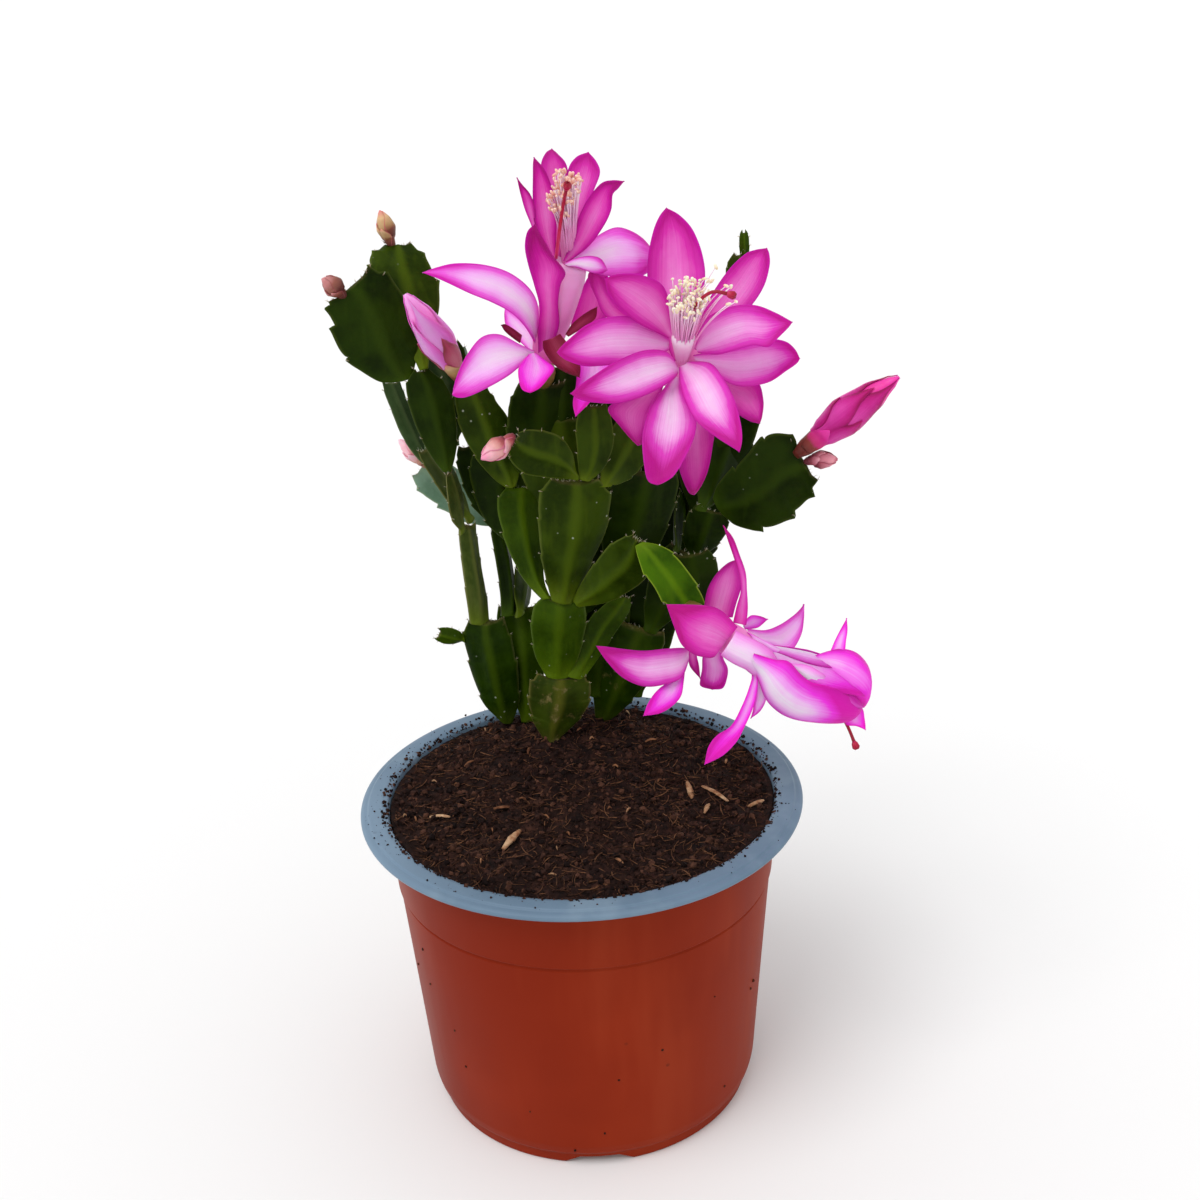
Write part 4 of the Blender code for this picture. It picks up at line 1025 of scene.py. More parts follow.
def segment(name, below, join, tip, width, thick, top, turn, bow, foot=None):
    tip = Vector(tip)
    if foot is None:
        base, grow = join_point(below, join)
    else:
        base = Vector(foot)
        grow = (tip - base).normalized()
    direction = (tip - base).normalized()
    side, face = across(direction, turn)
    offset = face * bow
    half = width / 2
    length = (tip - base).length
    made_segments[name] = (base, tip, side, face, half, top, offset)
    tip_ends[name] = tip - side * (half * top * 0.92), tip + side * (half * top * 0.92)
    kind, tooth = GREENS[name]
    local = random.Random(name)
    plans = [margin(top, tooth, local), margin(top, tooth, local)]
    old = top >= OLD_TOP
    rows = 72
    xs, signs = section(32)
    xs = [math.copysign(abs(x) ** 0.85, x) for x in xs]
    wave, phase = local.uniform(0.02, 0.045) * width, local.uniform(0, 6)
    ridge = local.uniform(-0.06, 0.06)
    left_line, right_line = [], []
    if name in OUTLINES:
        (first, last, slant), stations = OUTLINES[name]
        left_line, right_line = (flowing(edge, rows + 1) for edge in edges_of(stations, first, last,
                                                                              slant=slant))
        if (right_line[rows // 2] - left_line[rows // 2]).dot(side) < 0:
            left_line, right_line = right_line, left_line
    rings, along = [], []
    for r in range(rows + 1):
        s = r / rows
        at = bent(base, tip, offset, s)
        up = slope(base, tip, offset, s)
        up = lerp(grow, up, smooth(0, 0.12, s)).normalized()
        right = (side - up * side.dot(up)).normalized()
        if left_line:
            at, right = (left_line[r] + right_line[r]) / 2, right_line[r] - left_line[r]
            reach = right.length / 2
            right.normalize()
            a, b = max(r - 1, 0), min(r + 1, rows)
            up = (left_line[b] + right_line[b] - left_line[a] - right_line[a]).normalized()
            up = (up - right * up.dot(right)).normalized()
        front = right.cross(up)
        neck = smooth(0.10, 0.0, s)
        deep = thick / 2 * (0.50 + 0.50 * math.sin(math.pi * min(1, 0.08 + s * 0.92)))
        close = math.sqrt(max(0.0, 1 - smooth(0.955, 1.0, s) ** 2)) * 0.85 + 0.15
        ring = []
        for x, sign in zip(xs, signs):
            plan = plans[0 if x < 0 else 1]
            if left_line:
                wide = reach + half * teeth_at(plan, s)
            else:
                wide = lerp(half * width_at(plan, s), min(NECK, half * 0.55), neck * 0.8)
            ax = abs(x)
            body = (1 - x * x) ** 0.42 if ax < 1 else 0.0
            if old:
                shape = 0.50 + 0.22 * (1 - ax) + 0.28 * smooth(0.50, 0.10, abs(x - ridge))
            else:
                shape = 0.42 + 0.20 * (1 - ax) + 0.38 * smooth(0.32, 0.04, abs(x - ridge))
            shape = lerp(body * shape, math.sqrt(max(0, 1 - x * x)), neck)
            y = deep * close * shape * sign
            # lift the corners of the cut-off tip, and lean each tooth forward
            lift = HORN * smooth(0.55, 1.0, ax) * smooth(0.86, 1.0, s)
            for t in plan[1]:
                lift += tooth * half * 0.8 * math.exp(-(((s - t) / 0.03) ** 2)) * ax ** 8
            curl = wave * math.sin(5.2 * s + phase + (0.8 if x < 0 else 0)) * x * ax * smooth(0, 0.3, s)
            lumps = 0.05 * thick * noise.noise(Vector((x * 1.6, s * 3.5, sign * 2 + phase))) * (1 - ax ** 4)
            ring.append(at + right * (x * wide) + front * (y + curl + lumps * sign) + up * lift)
        rings.append(ring)
        along.append(s)
    heap = Heap()
    heap.rings(rings, along, xs, seed=local.random())
    obj = heap.build(f"segment_{name}", GREEN[kind])
    dress(obj, "stem", *([name] if foot is None else []))
    # areoles in the notches of the margin and across the tip
    hair = bristles[name.split("_")[0]]
    for way, plan in ((-1, plans[0]), (1, plans[1])):
        for t in plan[1]:
            s = min(0.985, t + 0.012)
            at = bent(base, tip, offset, s) + side * way * (half * width_at(plan, s) - 0.1)
            if left_line:
                at = (left_line if way < 0 else right_line)[round(s * rows)]
            tuft(hair, at, (side * way + direction * 0.8).normalized(), 4 if old else 3, 0.9, 0.55)
    if left_line:
        tip_ends[name] = left_line[-1], right_line[-1]


for row in SEGMENTS:
    segment(*row)
# the back shoots; the dark ones are painted shade in the gaps between the segments
for name, foot, tip, width, thick, top, turn, kind in BEHIND:
    GREENS[name] = (kind, 0.06)
    segment(name, None, None, tip, width, thick, top, turn, 0, foot)
for name in made_segments:
    if name == "right_e":  # the youngest tip has no bristles yet
        continue
    base, tip, side, face, half, top, offset = made_segments[name]
    grow = slope(base, tip, offset, 1.0)
    hair = bristles[name.split("_")[0]]
    spots = 9 if half > 7 else 6
    for k in range(spots):
        x = -1 + 2 * k / (spots - 1)
        at = lerp(*tip_ends[name], (x + 1) / 2) + grow * (HORN * smooth(0.55, 1.0, abs(x)) - 0.15)
        tuft(hair, at, (grow + side * x * 0.4).normalized(), rng.choice((2, 3, 4, 5)), 1.15, 0.7)
for group, heap in bristles.items():
    dress(heap.build(f"bristles_{group}", BRISTLE), "stem")


# ---------------------------------------------------------------- petals
# name, CAD node, finish, depth, cup, then the x and z of both edges from the root to the tip. A
# scratch script wrote these rows from points picked on the photo.
BLADES = {
    "flower_1": [
        ("tepal_12", "inner", "deep2", (16, 1, 1, 0), 0.16, [
            (-5.5, 206.3, -1.5, 208.6), (-5.2, 212.8, 0.2, 213.8), (-4.5, 219.1, 0.2, 219.7),
            (-5.5, 224.9, 1, 224.6), (-6.6, 230.1, 2.3, 228.1), (-7.1, 234.8, -0.3, 232.2),
            (-6.3, 238.6, -2.7, 236.9), (-4.5, 240.4)]),
        ("tepal_0", "outer", "light", (17, 9, 5, 0.3), 0.1, [
            (-5.4, 211.9, -6.2, 208.7), (-4.9, 218.5, -8.4, 213.9), (-6.7, 223.6, -11.4, 218),
            (-11.2, 227.9, -16, 221.3), (-17.1, 230.3, -21.1, 223.9), (-23.8, 231.1, -26.5, 226.8),
            (-28.7, 230.3, -29.7, 228.2), (-32.3, 229)]),
        ("tepal_1", "outer", "light", (14, -1, 4, 0.4), 0.12, [
            (-6.5, 207.4, -6.9, 205.9), (-9.8, 210.1, -8.8, 205.9), (-14.5, 213.5, -12.9, 203.9),
            (-18.9, 213.5, -18.7, 201.7), (-22.7, 209.8, -23, 200.4), (-25.4, 205.1, -25.4, 200.4),
            (-26.7, 200.9)]),
        ("tepal_2", "outer", "bell", (12, -2, 3, 0), 0.08, [
            (-7.7, 207.1, -6, 207.1), (-9.1, 206.8, -3.4, 206.1), (-10.4, 205.4, -1.6, 205.2),
            (-10.3, 203, -3.4, 203.3), (-9.5, 201.4, -5.4, 201.6), (-7.7, 200.9)]),
        ("tepal_3", "outer", "light", (22, 30, 0, 0), 0.1, [
            (-6.1, 206.2, -7.5, 205.4), (-6.2, 209.7, -10.5, 208.1), (-9.4, 213.3, -13.4, 211.3),
            (-12.3, 215.6, -13.9, 213.5), (-13.5, 215.5)]),
        ("sepal_a", "outer", "sepal", (18, 14, 1, 0), 0.1, [
            (-9.4, 210.7, -10, 208.6), (-11.5, 213, -11.9, 210.7), (-13.3, 214.4, -13.5, 212.6),
            (-14.3, 214.3)]),
        ("tepal_6", "inner", "light", (12, 22, 1, 0.4), -0.1, [
            (2.1, 229.8, 3.1, 228.8), (6.2, 231.9, 6.7, 227.3), (10.5, 234.7, 11.2, 225.7),
            (15.1, 236.3, 15.8, 225.2), (18.9, 235.3, 20, 224.5), (22.2, 232.9, 23.1, 225.1),
            (25.1, 228.9)]),
        ("tepal_6_lip", "inner", "light", (9, 9, 1, 0), -0.1, [
            (2.1, 229.7, 3.1, 229), (4.8, 230.9, 5.5, 228.7), (8.4, 231.4, 8.7, 227.3),
            (11.2, 230.4, 11.1, 226.9), (12.5, 227.6)]),
        ("tepal_7", "inner", "deep", (16, 24, 0, 0), 0.1, [
            (-0.5, 229.4, 1.6, 229.3), (-2, 240.6, 4.2, 240.3), (-2.5, 248.3, 4.3, 246.5),
            (-2.3, 252.1, 3.9, 251.4), (-1, 254.4, 2, 253.9), (0.5, 255)]),
        ("tepal_8", "inner", "deep2", (12, 13, 1, 0), 0.12, [
            (-0.9, 230.5, 0.3, 230.1), (-3.1, 235.1, 0.4, 235.7), (-4.7, 240, 1.1, 242.1),
            (-4.7, 245.4, -0, 247.6), (-4.4, 250.1, -1.4, 251.5), (-4.2, 253.1, -2.7, 253.2),
            (-3.9, 254.4)]),
        ("tepal_9", "inner", "open2", (15, 23, -1, 0), 0.12, [
            (1.6, 229.5, 3.6, 229.4), (2, 237.2, 6.4, 236.2), (2.9, 244.9, 10, 244.6),
            (4.3, 250.6, 12, 249.1), (6.5, 253.2, 11.3, 251.8), (9.4, 254)]),
        ("tepal_10", "inner", "deep2", (11, 10, 1, 0), 0.14, [
            (1.9, 230, 2.9, 229.5), (4.2, 235, 8.2, 233.2), (6.2, 240.5, 12, 237.9),
            (8.6, 244.7, 14, 241.8), (11.8, 248.1, 14.5, 245.3), (14.6, 248.7, 15.9, 246.7),
            (17.4, 248.3)]),
        ("tepal_11", "inner", "deep2", (13, 8, 0, 0), 0.1, [
            (-3.3, 231.7, -2.1, 231.2), (-5.3, 238.3, -4.1, 238.3), (-6.7, 242.5, -4.3, 242.8),
            (-7.5, 246.2, -5.1, 246.1), (-7.9, 248.6, -6.9, 248.6), (-8.1, 250.4)]),
        ("tepal_4", "outer", "sepal", (14, 12, 1, 0), 0.12, [
            (1.6, 211.3, 2.4, 210.6), (3.7, 214.4, 6.1, 213), (7.3, 217.1, 9.2, 215.3), (9.8, 218.2)]),
        ("sepal_b", "outer", "sepal", (13, 2, 1, 0), 0.14, [
            (-4.2, 210, 0.3, 211.6), (-3.9, 208.2, 2.9, 208.6), (-1.8, 205.6, 4.5, 206.3),
            (1.4, 203.9, 4.9, 204.7), (4.5, 203.1)]),
        ("tepal_5", "outer", "deep", (24, 30, 0, 0), 0.1, [
            (2.9, 210.1, 4.6, 210), (3.9, 214, 12.5, 212.8), (5.9, 218.8, 13.6, 219.3),
            (8.3, 222.7, 13, 223.3), (10.5, 223.7)]),
        ("tepal_low", "outer", "bell", (15, 3, 1, 0), 0.1, [
            (3.5, 207.8, 12.7, 207.4), (4, 204, 13.4, 202.2), (3.6, 199.7, 9.7, 198.5),
            (2.6, 195.8, 7.1, 196), (3.1, 192.9)]),
    ],
    "flower_2": [
        ("tepal_6", "inner", "open2", (5, 17, -3, 0), 0.1, [
            (27.9, 205.4, 30.1, 205.3), (24.8, 213.6, 33.3, 213.2), (22.6, 222.8, 36.4, 222.2),
            (22.8, 229.3, 36.4, 228.7), (24.3, 235.2, 34.3, 235), (26, 238.7, 31.2, 238.7), (27.8, 240.7)]),
        ("tepal_7", "inner", "open2", (4, 11, -1, 0.2), 0.1, [
            (31.8, 209, 33.5, 208.1), (34.7, 215.5, 40.7, 213.1), (38, 221.1, 46.6, 216.9),
            (42.1, 226.3, 50.5, 221.8), (46.1, 229.7, 52.2, 226.7), (48.8, 230.6, 52.3, 229.5),
            (51.8, 230.8)]),
        ("tepal_8", "inner", "open", (2, -5, 3, 0.5), 0.1, [
            (33.2, 209.3, 33.7, 207.9), (34.2, 214.8, 37.7, 208.1), (37.5, 217.9, 41.7, 209.4),
            (42.5, 219.7, 46.1, 210.9), (47.5, 219.7, 49.7, 210.6), (51.8, 218.1, 52.2, 212.7),
            (54.4, 216.7, 54.6, 214.7), (55.7, 215.8)]),
        ("tepal_4", "outer", "open", (4, -3, 1, 0.5), 0.1, [
            (32.7, 206.7, 33.4, 205), (38.8, 207.9, 38.4, 201.9), (44.8, 209.1, 43.3, 199.9),
            (50.8, 210.4, 50.1, 200.7), (54.8, 210.1, 54.8, 203.6), (57, 208.4, 57.2, 205.3),
            (57.9, 206.4)]),
        ("tepal_0", "outer", "deep", (7, -3, 2, 0.3), 0.08, [
            (33.7, 202.9, 36.4, 203.6), (37.7, 197.3, 44, 200.4), (41.8, 193.4, 48.4, 199.8),
            (45.5, 191.2, 49.5, 195.8), (47.4, 190.7, 49, 192.3), (48.2, 190.6)]),
        ("tepal_9", "inner", "white", (1, -26, 7, 0), 0.12, [
            (28.8, 204.6, 31.5, 206), (28.3, 202.3, 35.8, 207.3), (29.3, 199.2, 38.4, 204.8),
            (31.5, 196.2, 40.2, 201), (35.7, 193.4, 41.1, 196.4), (39.2, 191.4, 41.1, 193.2),
            (40.4, 190.6)]),
        ("tepal_10", "inner", "white", (1, -24, 4.5, 0), 0.12, [
            (27.7, 202.4, 29, 201.9), (24.3, 201.1, 29.2, 200), (20.7, 198, 31.5, 196.2),
            (18.6, 192.9, 31.2, 193.1), (18.4, 188.3, 28.9, 189.1), (19.1, 183.8, 25.2, 184.4),
            (21.3, 183.1)]),
        ("tepal_1", "outer", "deep", (5, -16, 2, 0), 0.08, [
            (29.9, 194.5, 35.2, 194.2), (27.9, 187, 37.1, 188.4), (28, 181.1, 36.4, 186.2),
            (28.8, 178.3, 34.6, 181.2), (29.7, 177, 32.3, 178.1), (30.5, 177.5)]),
        ("tepal_2", "outer", "deep", (6, -9, 1, 0.2), 0.08, [
            (23.9, 200.8, 25.6, 199.5), (16.5, 198, 23.5, 195.6), (11.2, 195.8, 22.3, 192.9),
            (13.8, 191.8, 20.2, 189.4), (16.4, 189.1, 19.2, 188.2), (17.9, 188.4)]),
        ("tepal_5", "inner", "open", (3, -9, 3, 0.4), 0.1, [
            (26.7, 211, 26.6, 208.7), (23, 214.8, 22.6, 207.7), (17.8, 217.9, 17.3, 207.4),
            (11.8, 218.6, 12.1, 208), (6.6, 217.4, 6.1, 208.3), (2.2, 214.6, 1.9, 209.8),
            (-0, 212.9, 0.1, 211.1), (-0.7, 212.1)]),
        ("tepal_11", "inner", "white", (0.5, -21, 4, 0.3), 0.12, [
            (28.4, 205.1, 28.6, 203.4), (25.7, 209.9, 26.6, 203.4), (19.7, 211.5, 20.9, 201.8),
            (13.1, 210.2, 13.9, 200.9), (7.1, 207.7, 7.2, 202), (3.6, 206, 3.7, 203.5), (2.1, 205.1)]),
        ("tepal_12", "inner", "open2", (1.5, -2, 2, 0.2), 0.12, [
            (27.5, 213.2, 26.6, 211.8), (27.2, 219.6, 22.9, 214.2), (25.3, 225.1, 18.4, 217.1),
            (20.6, 227.9, 14.6, 220.8), (16, 228.6, 12.3, 223.9), (13, 228.3, 11.7, 226.1), (11.6, 227.3)]),
        ("tepal_3", "outer", "deep", (8, 13, 0, 0), 0.08, [
            (24.3, 212, 21.6, 210.4), (16.6, 217, 12.2, 215.7), (12.8, 221.3, 9.6, 220.5),
            (12.2, 225, 7.8, 225.2), (8.3, 226.8)]),
    ],
    "flower_3": [
        ("tepal_0", "outer", "bell2", (-8, -8, 0, 0), 0.1, [
            (40.8, 139.8, 44.2, 138.9), (41.7, 144.2, 44.6, 143.6), (42.8, 148.6, 44.4, 148.5),
            (42.4, 152.9, 44.1, 153.3), (41, 157.8, 42.6, 158.2), (39.5, 162.6, 40.9, 163), (38.5, 166.3)]),
        ("tepal_1", "outer", "open2", (-3, 1, 0, 0), 0.08, [
            (33.5, 139.6, 41.3, 139.1), (34.1, 143.2, 42.4, 142.7), (35.3, 147.3, 43.9, 147.3),
            (37.6, 150.8, 44, 150.9), (40.4, 153, 43.8, 152.8), (42.8, 153.5)]),
        ("tepal_2", "outer", "bell2", (-15, -17, 1, 0), 0.02, [
            (41.1, 141.7, 35.2, 133.8), (38.6, 145.2, 33.9, 133.8), (36.7, 147.2, 31.9, 134.4),
            (34.4, 148.4, 29.8, 135.5), (30.9, 149.1, 26.7, 138.7), (27.4, 149.5, 24.8, 144.2),
            (23.2, 149.6)]),
        ("tepal_3", "outer", "open", (-9, -17, 3, 0.4), 0.1, [
            (29.2, 133.2, 29.1, 130.6), (27.2, 134.7, 26.9, 127.6), (23, 135.6, 22.5, 127.1),
            (17.5, 136.1, 17, 127.7), (12.1, 137.5, 11.7, 130.8), (8, 138.8, 7.9, 135.3), (5.4, 139.3)]),
        ("tepal_4", "outer", "bell", (-10, -21, 1, 0), 0.1, [
            (25, 128.1, 28.1, 127.9), (23.2, 126.3, 27.5, 126.1), (21.2, 126, 26.6, 123.5),
            (19.2, 125, 24.3, 121.9), (17.5, 123.2, 20.8, 120.8), (16.5, 121.1)]),
        ("tepal_5", "outer", "open", (-4, -3, 1, 0), 0.1, [
            (34.7, 133.4, 38.4, 133.2), (33.2, 129.1, 38.5, 128.8), (33, 125.6, 39.8, 125.2),
            (32.5, 122.4, 39.4, 121.7), (32.7, 120.3, 38.3, 119.3), (35.8, 118.8)]),
        ("tepal_5b", "outer", "deep", (-6, -6, 0, 0), 0.1, [
            (29, 134.6, 31.8, 133.9), (29.2, 130.5, 31.5, 130.7), (29.8, 127, 32.1, 127.3), (32.4, 123.5)]),
        ("tepal_6", "inner", "bell", (-2, 4, 0, 0), 0.08, [
            (44.2, 137.1, 44.7, 135.1), (46.4, 138.1, 47.8, 134.4), (49, 137, 49.6, 134.5), (51.4, 135.1)]),
        ("tepal_7", "inner", "light", (-6, 5, 1, 0), 0.12, [
            (44.7, 137.1, 46.5, 133.6), (49.5, 135.7, 51.8, 130.9), (53.4, 136.1, 56.3, 128.5),
            (57.5, 137.7, 59.6, 131.9), (59.6, 138.2, 60.7, 135.4), (61.1, 138.4)]),
        ("tepal_8", "inner", "bell", (-14, -24, 0, 0), 0.2, [
            (42.9, 131.7, 45.6, 131), (44.6, 128.5, 46.2, 127.4), (43.7, 125.3, 45.8, 124.1),
            (41.7, 121, 44.6, 120.4), (38.8, 116.4, 42.4, 116.2), (35, 114.6, 40, 112.5),
            (32.6, 112.1, 36.2, 109.4), (31.5, 107.9)]),
        ("tepal_8b", "inner", "light", (-12, -14, 0, 0), 0.1, [
            (45.7, 126.9, 48, 124.7), (46.1, 122.1, 48.8, 120.4), (45.3, 117.9, 47.2, 117), (44.5, 115.2)]),
        ("tepal_13", "inner", "bell", (-12, -6, 0, 0), 0.08, [
            (64.9, 131.3, 69, 131.6), (66.5, 133.8, 69.6, 134.2), (68.4, 136.3, 70.3, 136.2), (70.4, 138.6)]),
        ("bell_top", "inner", "bell", (-13, -15, 0, 0.75), -0.22, [
            (43.9, 138.6, 46.3, 134.9), (49.8, 135.2, 51.7, 132.1), (54.7, 132.3, 55.4, 131),
            (60.1, 131.7, 59.5, 130), (64.9, 132.4, 63.4, 127.4), (68.9, 132.3, 66.1, 124.3),
            (72.6, 130.6, 68.8, 121.6), (75.3, 127, 71, 119.6), (75.6, 122.6, 72.2, 118.3),
            (74.5, 119.2, 73, 117.5), (72.9, 117.2)]),
        ("bell_front", "inner", "bell3", (-17, -16, 0, -0.45), -0.24, [
            (44.9, 135.5, 44.1, 132.1), (49.8, 133.7, 46, 127.5), (53.2, 133.4, 48.2, 120.8),
            (56.4, 129.6, 51.6, 116.8), (59.3, 127.2, 55.6, 114.6), (63.7, 125.9, 60.5, 113.3),
            (67.4, 124.1, 65.9, 112.5), (70.8, 121.1, 69.6, 113.3), (72.3, 118.8, 71.9, 115.7),
            (72.8, 117.5)]),
        ("bell_inside", "inner", "pale", (-18.0, -17.6, 0, -0.1), -0.1, [
            (50.3, 133.4, 50.6, 132), (54.4, 132.2, 54.5, 130.3), (59, 131.3, 57.9, 126.1),
            (63.7, 127.6, 61.1, 123.1), (67, 123.4, 65.3, 120.8), (69.1, 119.3)]),
        ("bell_flare", "inner", "bell", (-15, -17, 0, 0), 0.1, [
            (68.8, 115.8, 72.4, 118.2), (68.7, 113.8, 73.4, 116.8), (69.3, 112.8, 73.7, 114.8),
            (71.6, 112.7, 73.9, 113), (73.9, 111.7)]),
        ("bell_root", "inner", "pale", (-15.6, -16.6, 0, 0), -0.2, [
            (40.7, 140.9, 36.7, 134.4), (43, 139.8, 39.7, 132.1), (46.5, 137.8, 42.7, 130.3),
            (49.7, 135.1, 45.8, 128.5), (51.9, 131)]),
    ],
}


def blade(name, depth, cup, stations, material):
    """A petal between the two edges that the front shows, from its root to its tip. Depth is the y of
    its root and of its tip, how far it arches forward, and its lean; a cup below 0 bulges forward."""
    local = random.Random(name)
    rows = 44
    left, right = (flowing(edge, rows + 1) for edge in edges_of(stations, *depth))
    xs, signs = section(28)
    phase = local.uniform(0, 6)
    rings, along, front = [], [], Vector((0, -0.8, 0.6))
    for r in range(rows + 1):
        s = r / rows
        at, half = (left[r] + right[r]) / 2, (right[r] - left[r]) / 2
        before, after = max(r - 1, 0), min(r + 1, rows)
        up = left[after] + right[after] - left[before] - right[before]
        face = up.cross(half)
        if face.dot(front) < 0:
            face = -face
        if face.length > 1e-6:
            front = lerp(front, face.normalized(), 0.6).normalized()
        if half.length < 0.14:
            half = (half if half.length > 1e-4 else up.cross(front)).normalized() * 0.14
        wide = half.length * 2
        ring = []
        for x, sign in zip(xs, signs):
            ax = abs(x)
            thick = (0.40 - 0.18 * s) * math.sqrt(max(0.0, 1 - x * x)) + 0.02
            hollow = cup * wide * (x * x - 1)
            keel = -0.030 * wide * math.exp(-((x / 0.12) ** 2)) * (1 - 0.5 * s)
            pleat = 0.010 * wide * math.sin(x * 11 + phase) * math.sin(math.pi * s)
            wavy = 0.022 * wide * math.sin(8 * s + phase + (1.6 if x > 0 else 0)) * ax ** 3
            ring.append(at + half * x + front * (thick * sign + hollow + keel + pleat + wavy))
        rings.append(ring)
        along.append(s)
    heap = Heap()
    heap.rings(rings, along, xs, seed=local.uniform(0, 20))
    return heap.build(name, material)


def knob_lobes(heap, at, way, size):
    """The lobed head of a style."""
    side, front = across(way, 0)
    for k in range(7):
        a = math.tau * k / 7
        out = side * math.cos(a) + front * math.sin(a)
        line = [at, at + way * size * 0.7 + out * size * 0.35, at + way * size * 1.5 + out * size * 0.55,
                at + way * size * 2.0 + out * size * 0.35]
        heap.tube(line, [size * 0.34, size * 0.42, size * 0.36, size * 0.12], 6)


for flower, plan in FLOWERS.items():
    low, split, throat = (Vector(p) for p in plan["axis"])
    base, grow = join_point(*plan["on"])
    axis = (throat - split).normalized()
    lower_axis = (split - low).normalized()
    # ovary
    heap = Heap()
    stops = [(0.0, 1.4), (0.12, 2.2), (0.3, 2.9), (0.5, 3.25), (0.7, 3.15), (0.88, 2.8),
             (1.02, plan["tube"][0])]
    line = [bent(base, low, (grow - lower_axis) * 0.3, s) for s, _ in stops]
    heap.tube(line, [r for _, r in stops], 20)
    dress(heap.build(f"{flower}_ovary_skin", OVARY), "ovary", f"{flower}_ovary")
    # tubes
    heap = Heap()
    bend = split - lerp(low, throat, 0.5)
    line = [bent(low, throat, bend * 0.5, k / 32) for k in range(33)]
    widths = plan["tube"]
    radii = [lerp(widths[k // 4], widths[min(k // 4 + 1, 8)], k % 4 / 4) for k in range(33)]
    heap.tube(line, radii, 28)
    dress(heap.build(f"{flower}_tube", TUBE), "petal", f"{flower}_outer", f"{flower}_inner")
    for name, part, finish, depth, cup, stations in BLADES[flower]:
        obj = blade(f"{flower}_{name}", depth, cup, stations, PETAL[finish])
        dress(obj, "petal", f"{flower}_{part}")
    # stamens
    local = random.Random(flower)
    top = Vector(plan["stamens"])
    foot = throat - axis * 2
    side, face = across(axis, 0)
    threads, heads = Heap(), Heap()
    if flower == "flower_2":
        # the petals' roots meet in a cup, and the lower filaments stand fused in a funnel
        cup_walls = [(-2.5, 2.2), (-1.2, 3.6), (-0.4, 5.0), (0.2, 6.6), (0.4, 6.4), (0.0, 4.8),
                     (-0.6, 3.2), (-1.6, 1.8)]
        heap = Heap()
        heap.rings([[throat + axis * h + side * (r * math.cos(math.tau * k / 32))
                     + face * (r * math.sin(math.tau * k / 32))
                     for k in range(32)] for h, r in cup_walls], [0.5] * len(cup_walls))
        dress(heap.build("flower_2_throat", TUBE), "petal")
        threads.tube([lerp(foot, top, 0.07 * k) for k in range(8)],
                     [0.9, 1.15, 1.5, 1.9, 2.25, 2.6, 2.9, 2.7], 24)
    total = {"flower_1": 120, "flower_2": 110, "flower_3": 40}[flower]
    spread, depth, wall, neck_r = {"flower_1": (3.6, 9.0, 1.6, 2.0), "flower_2": (4.8, 6.0, 0.9, 3.4),
                                   "flower_3": (1.6, 3.0, 1.0, 1.2)}[flower]
    for k in range(total):
        a = math.tau * k / total * 13
        rad = math.sqrt((k + 0.5) / total)
        out = side * math.cos(a) + face * math.sin(a)
        start = foot + out * (wall * (0.75 + 0.25 * rad))
        reach = top + out * (rad * spread) + axis * (local.uniform(-0.75, 0.35) * depth)
        if flower == "flower_2" and k % 9 == 4:
            reach += Vector((local.uniform(3.5, 7), 0, local.uniform(0, 3)))
        neck = lerp(foot, top, 0.66) + out * (neck_r * (0.6 + 0.4 * rad))
        line = [lerp(lerp(start, neck, t), lerp(neck, reach, t), t) for t in (i / 10 for i in range(11))]
        threads.tube(line, [0.24 - 0.012 * t for t in range(11)], 5)
        way = (line[-1] - line[-2]).normalized()
        tilt = (way + jitter(local) * 0.9).normalized()
        r = local.uniform(0.30, 0.42)
        heads.tube([reach - tilt * 0.75, reach - tilt * 0.5, reach, reach + tilt * 0.5, reach + tilt * 0.75],
                   [r * 0.4, r * 0.9, r, r * 0.9, r * 0.35], 7, squash=0.7)
    dress(threads.build(f"{flower}_filaments", FILAMENT), "stamen", f"{flower}_stamens")
    dress(heads.build(f"{flower}_anthers", ANTHER_WARM if flower == "flower_1" else ANTHER), "stamen",
          f"{flower}_stamens")
    # style
    line = flowing([Vector(p) for p in plan["style"]], 15)
    knob = line[-1]
    heap = Heap()
    heap.tube(line, [0.42] * 13 + [0.45, 0.5], 10)
    way = (line[-1] - line[-2]).normalized()
    knob_lobes(heap, knob - way * 0.3, way, 1.15)
    dress(heap.build(f"{flower}_style_rod", STYLE), "style", f"{flower}_style")

# ---------------------------------------------------------------- buds
BUD_SHAPE = [(0, 0.26), (0.1, 0.5), (0.24, 0.58), (0.3, 0.74), (0.5, 1.0), (0.75, 0.74), (0.92, 0.36),
             (1, 0.08)]


def bud_r(s):
    return looked_up(BUD_SHAPE, s, 0.5)


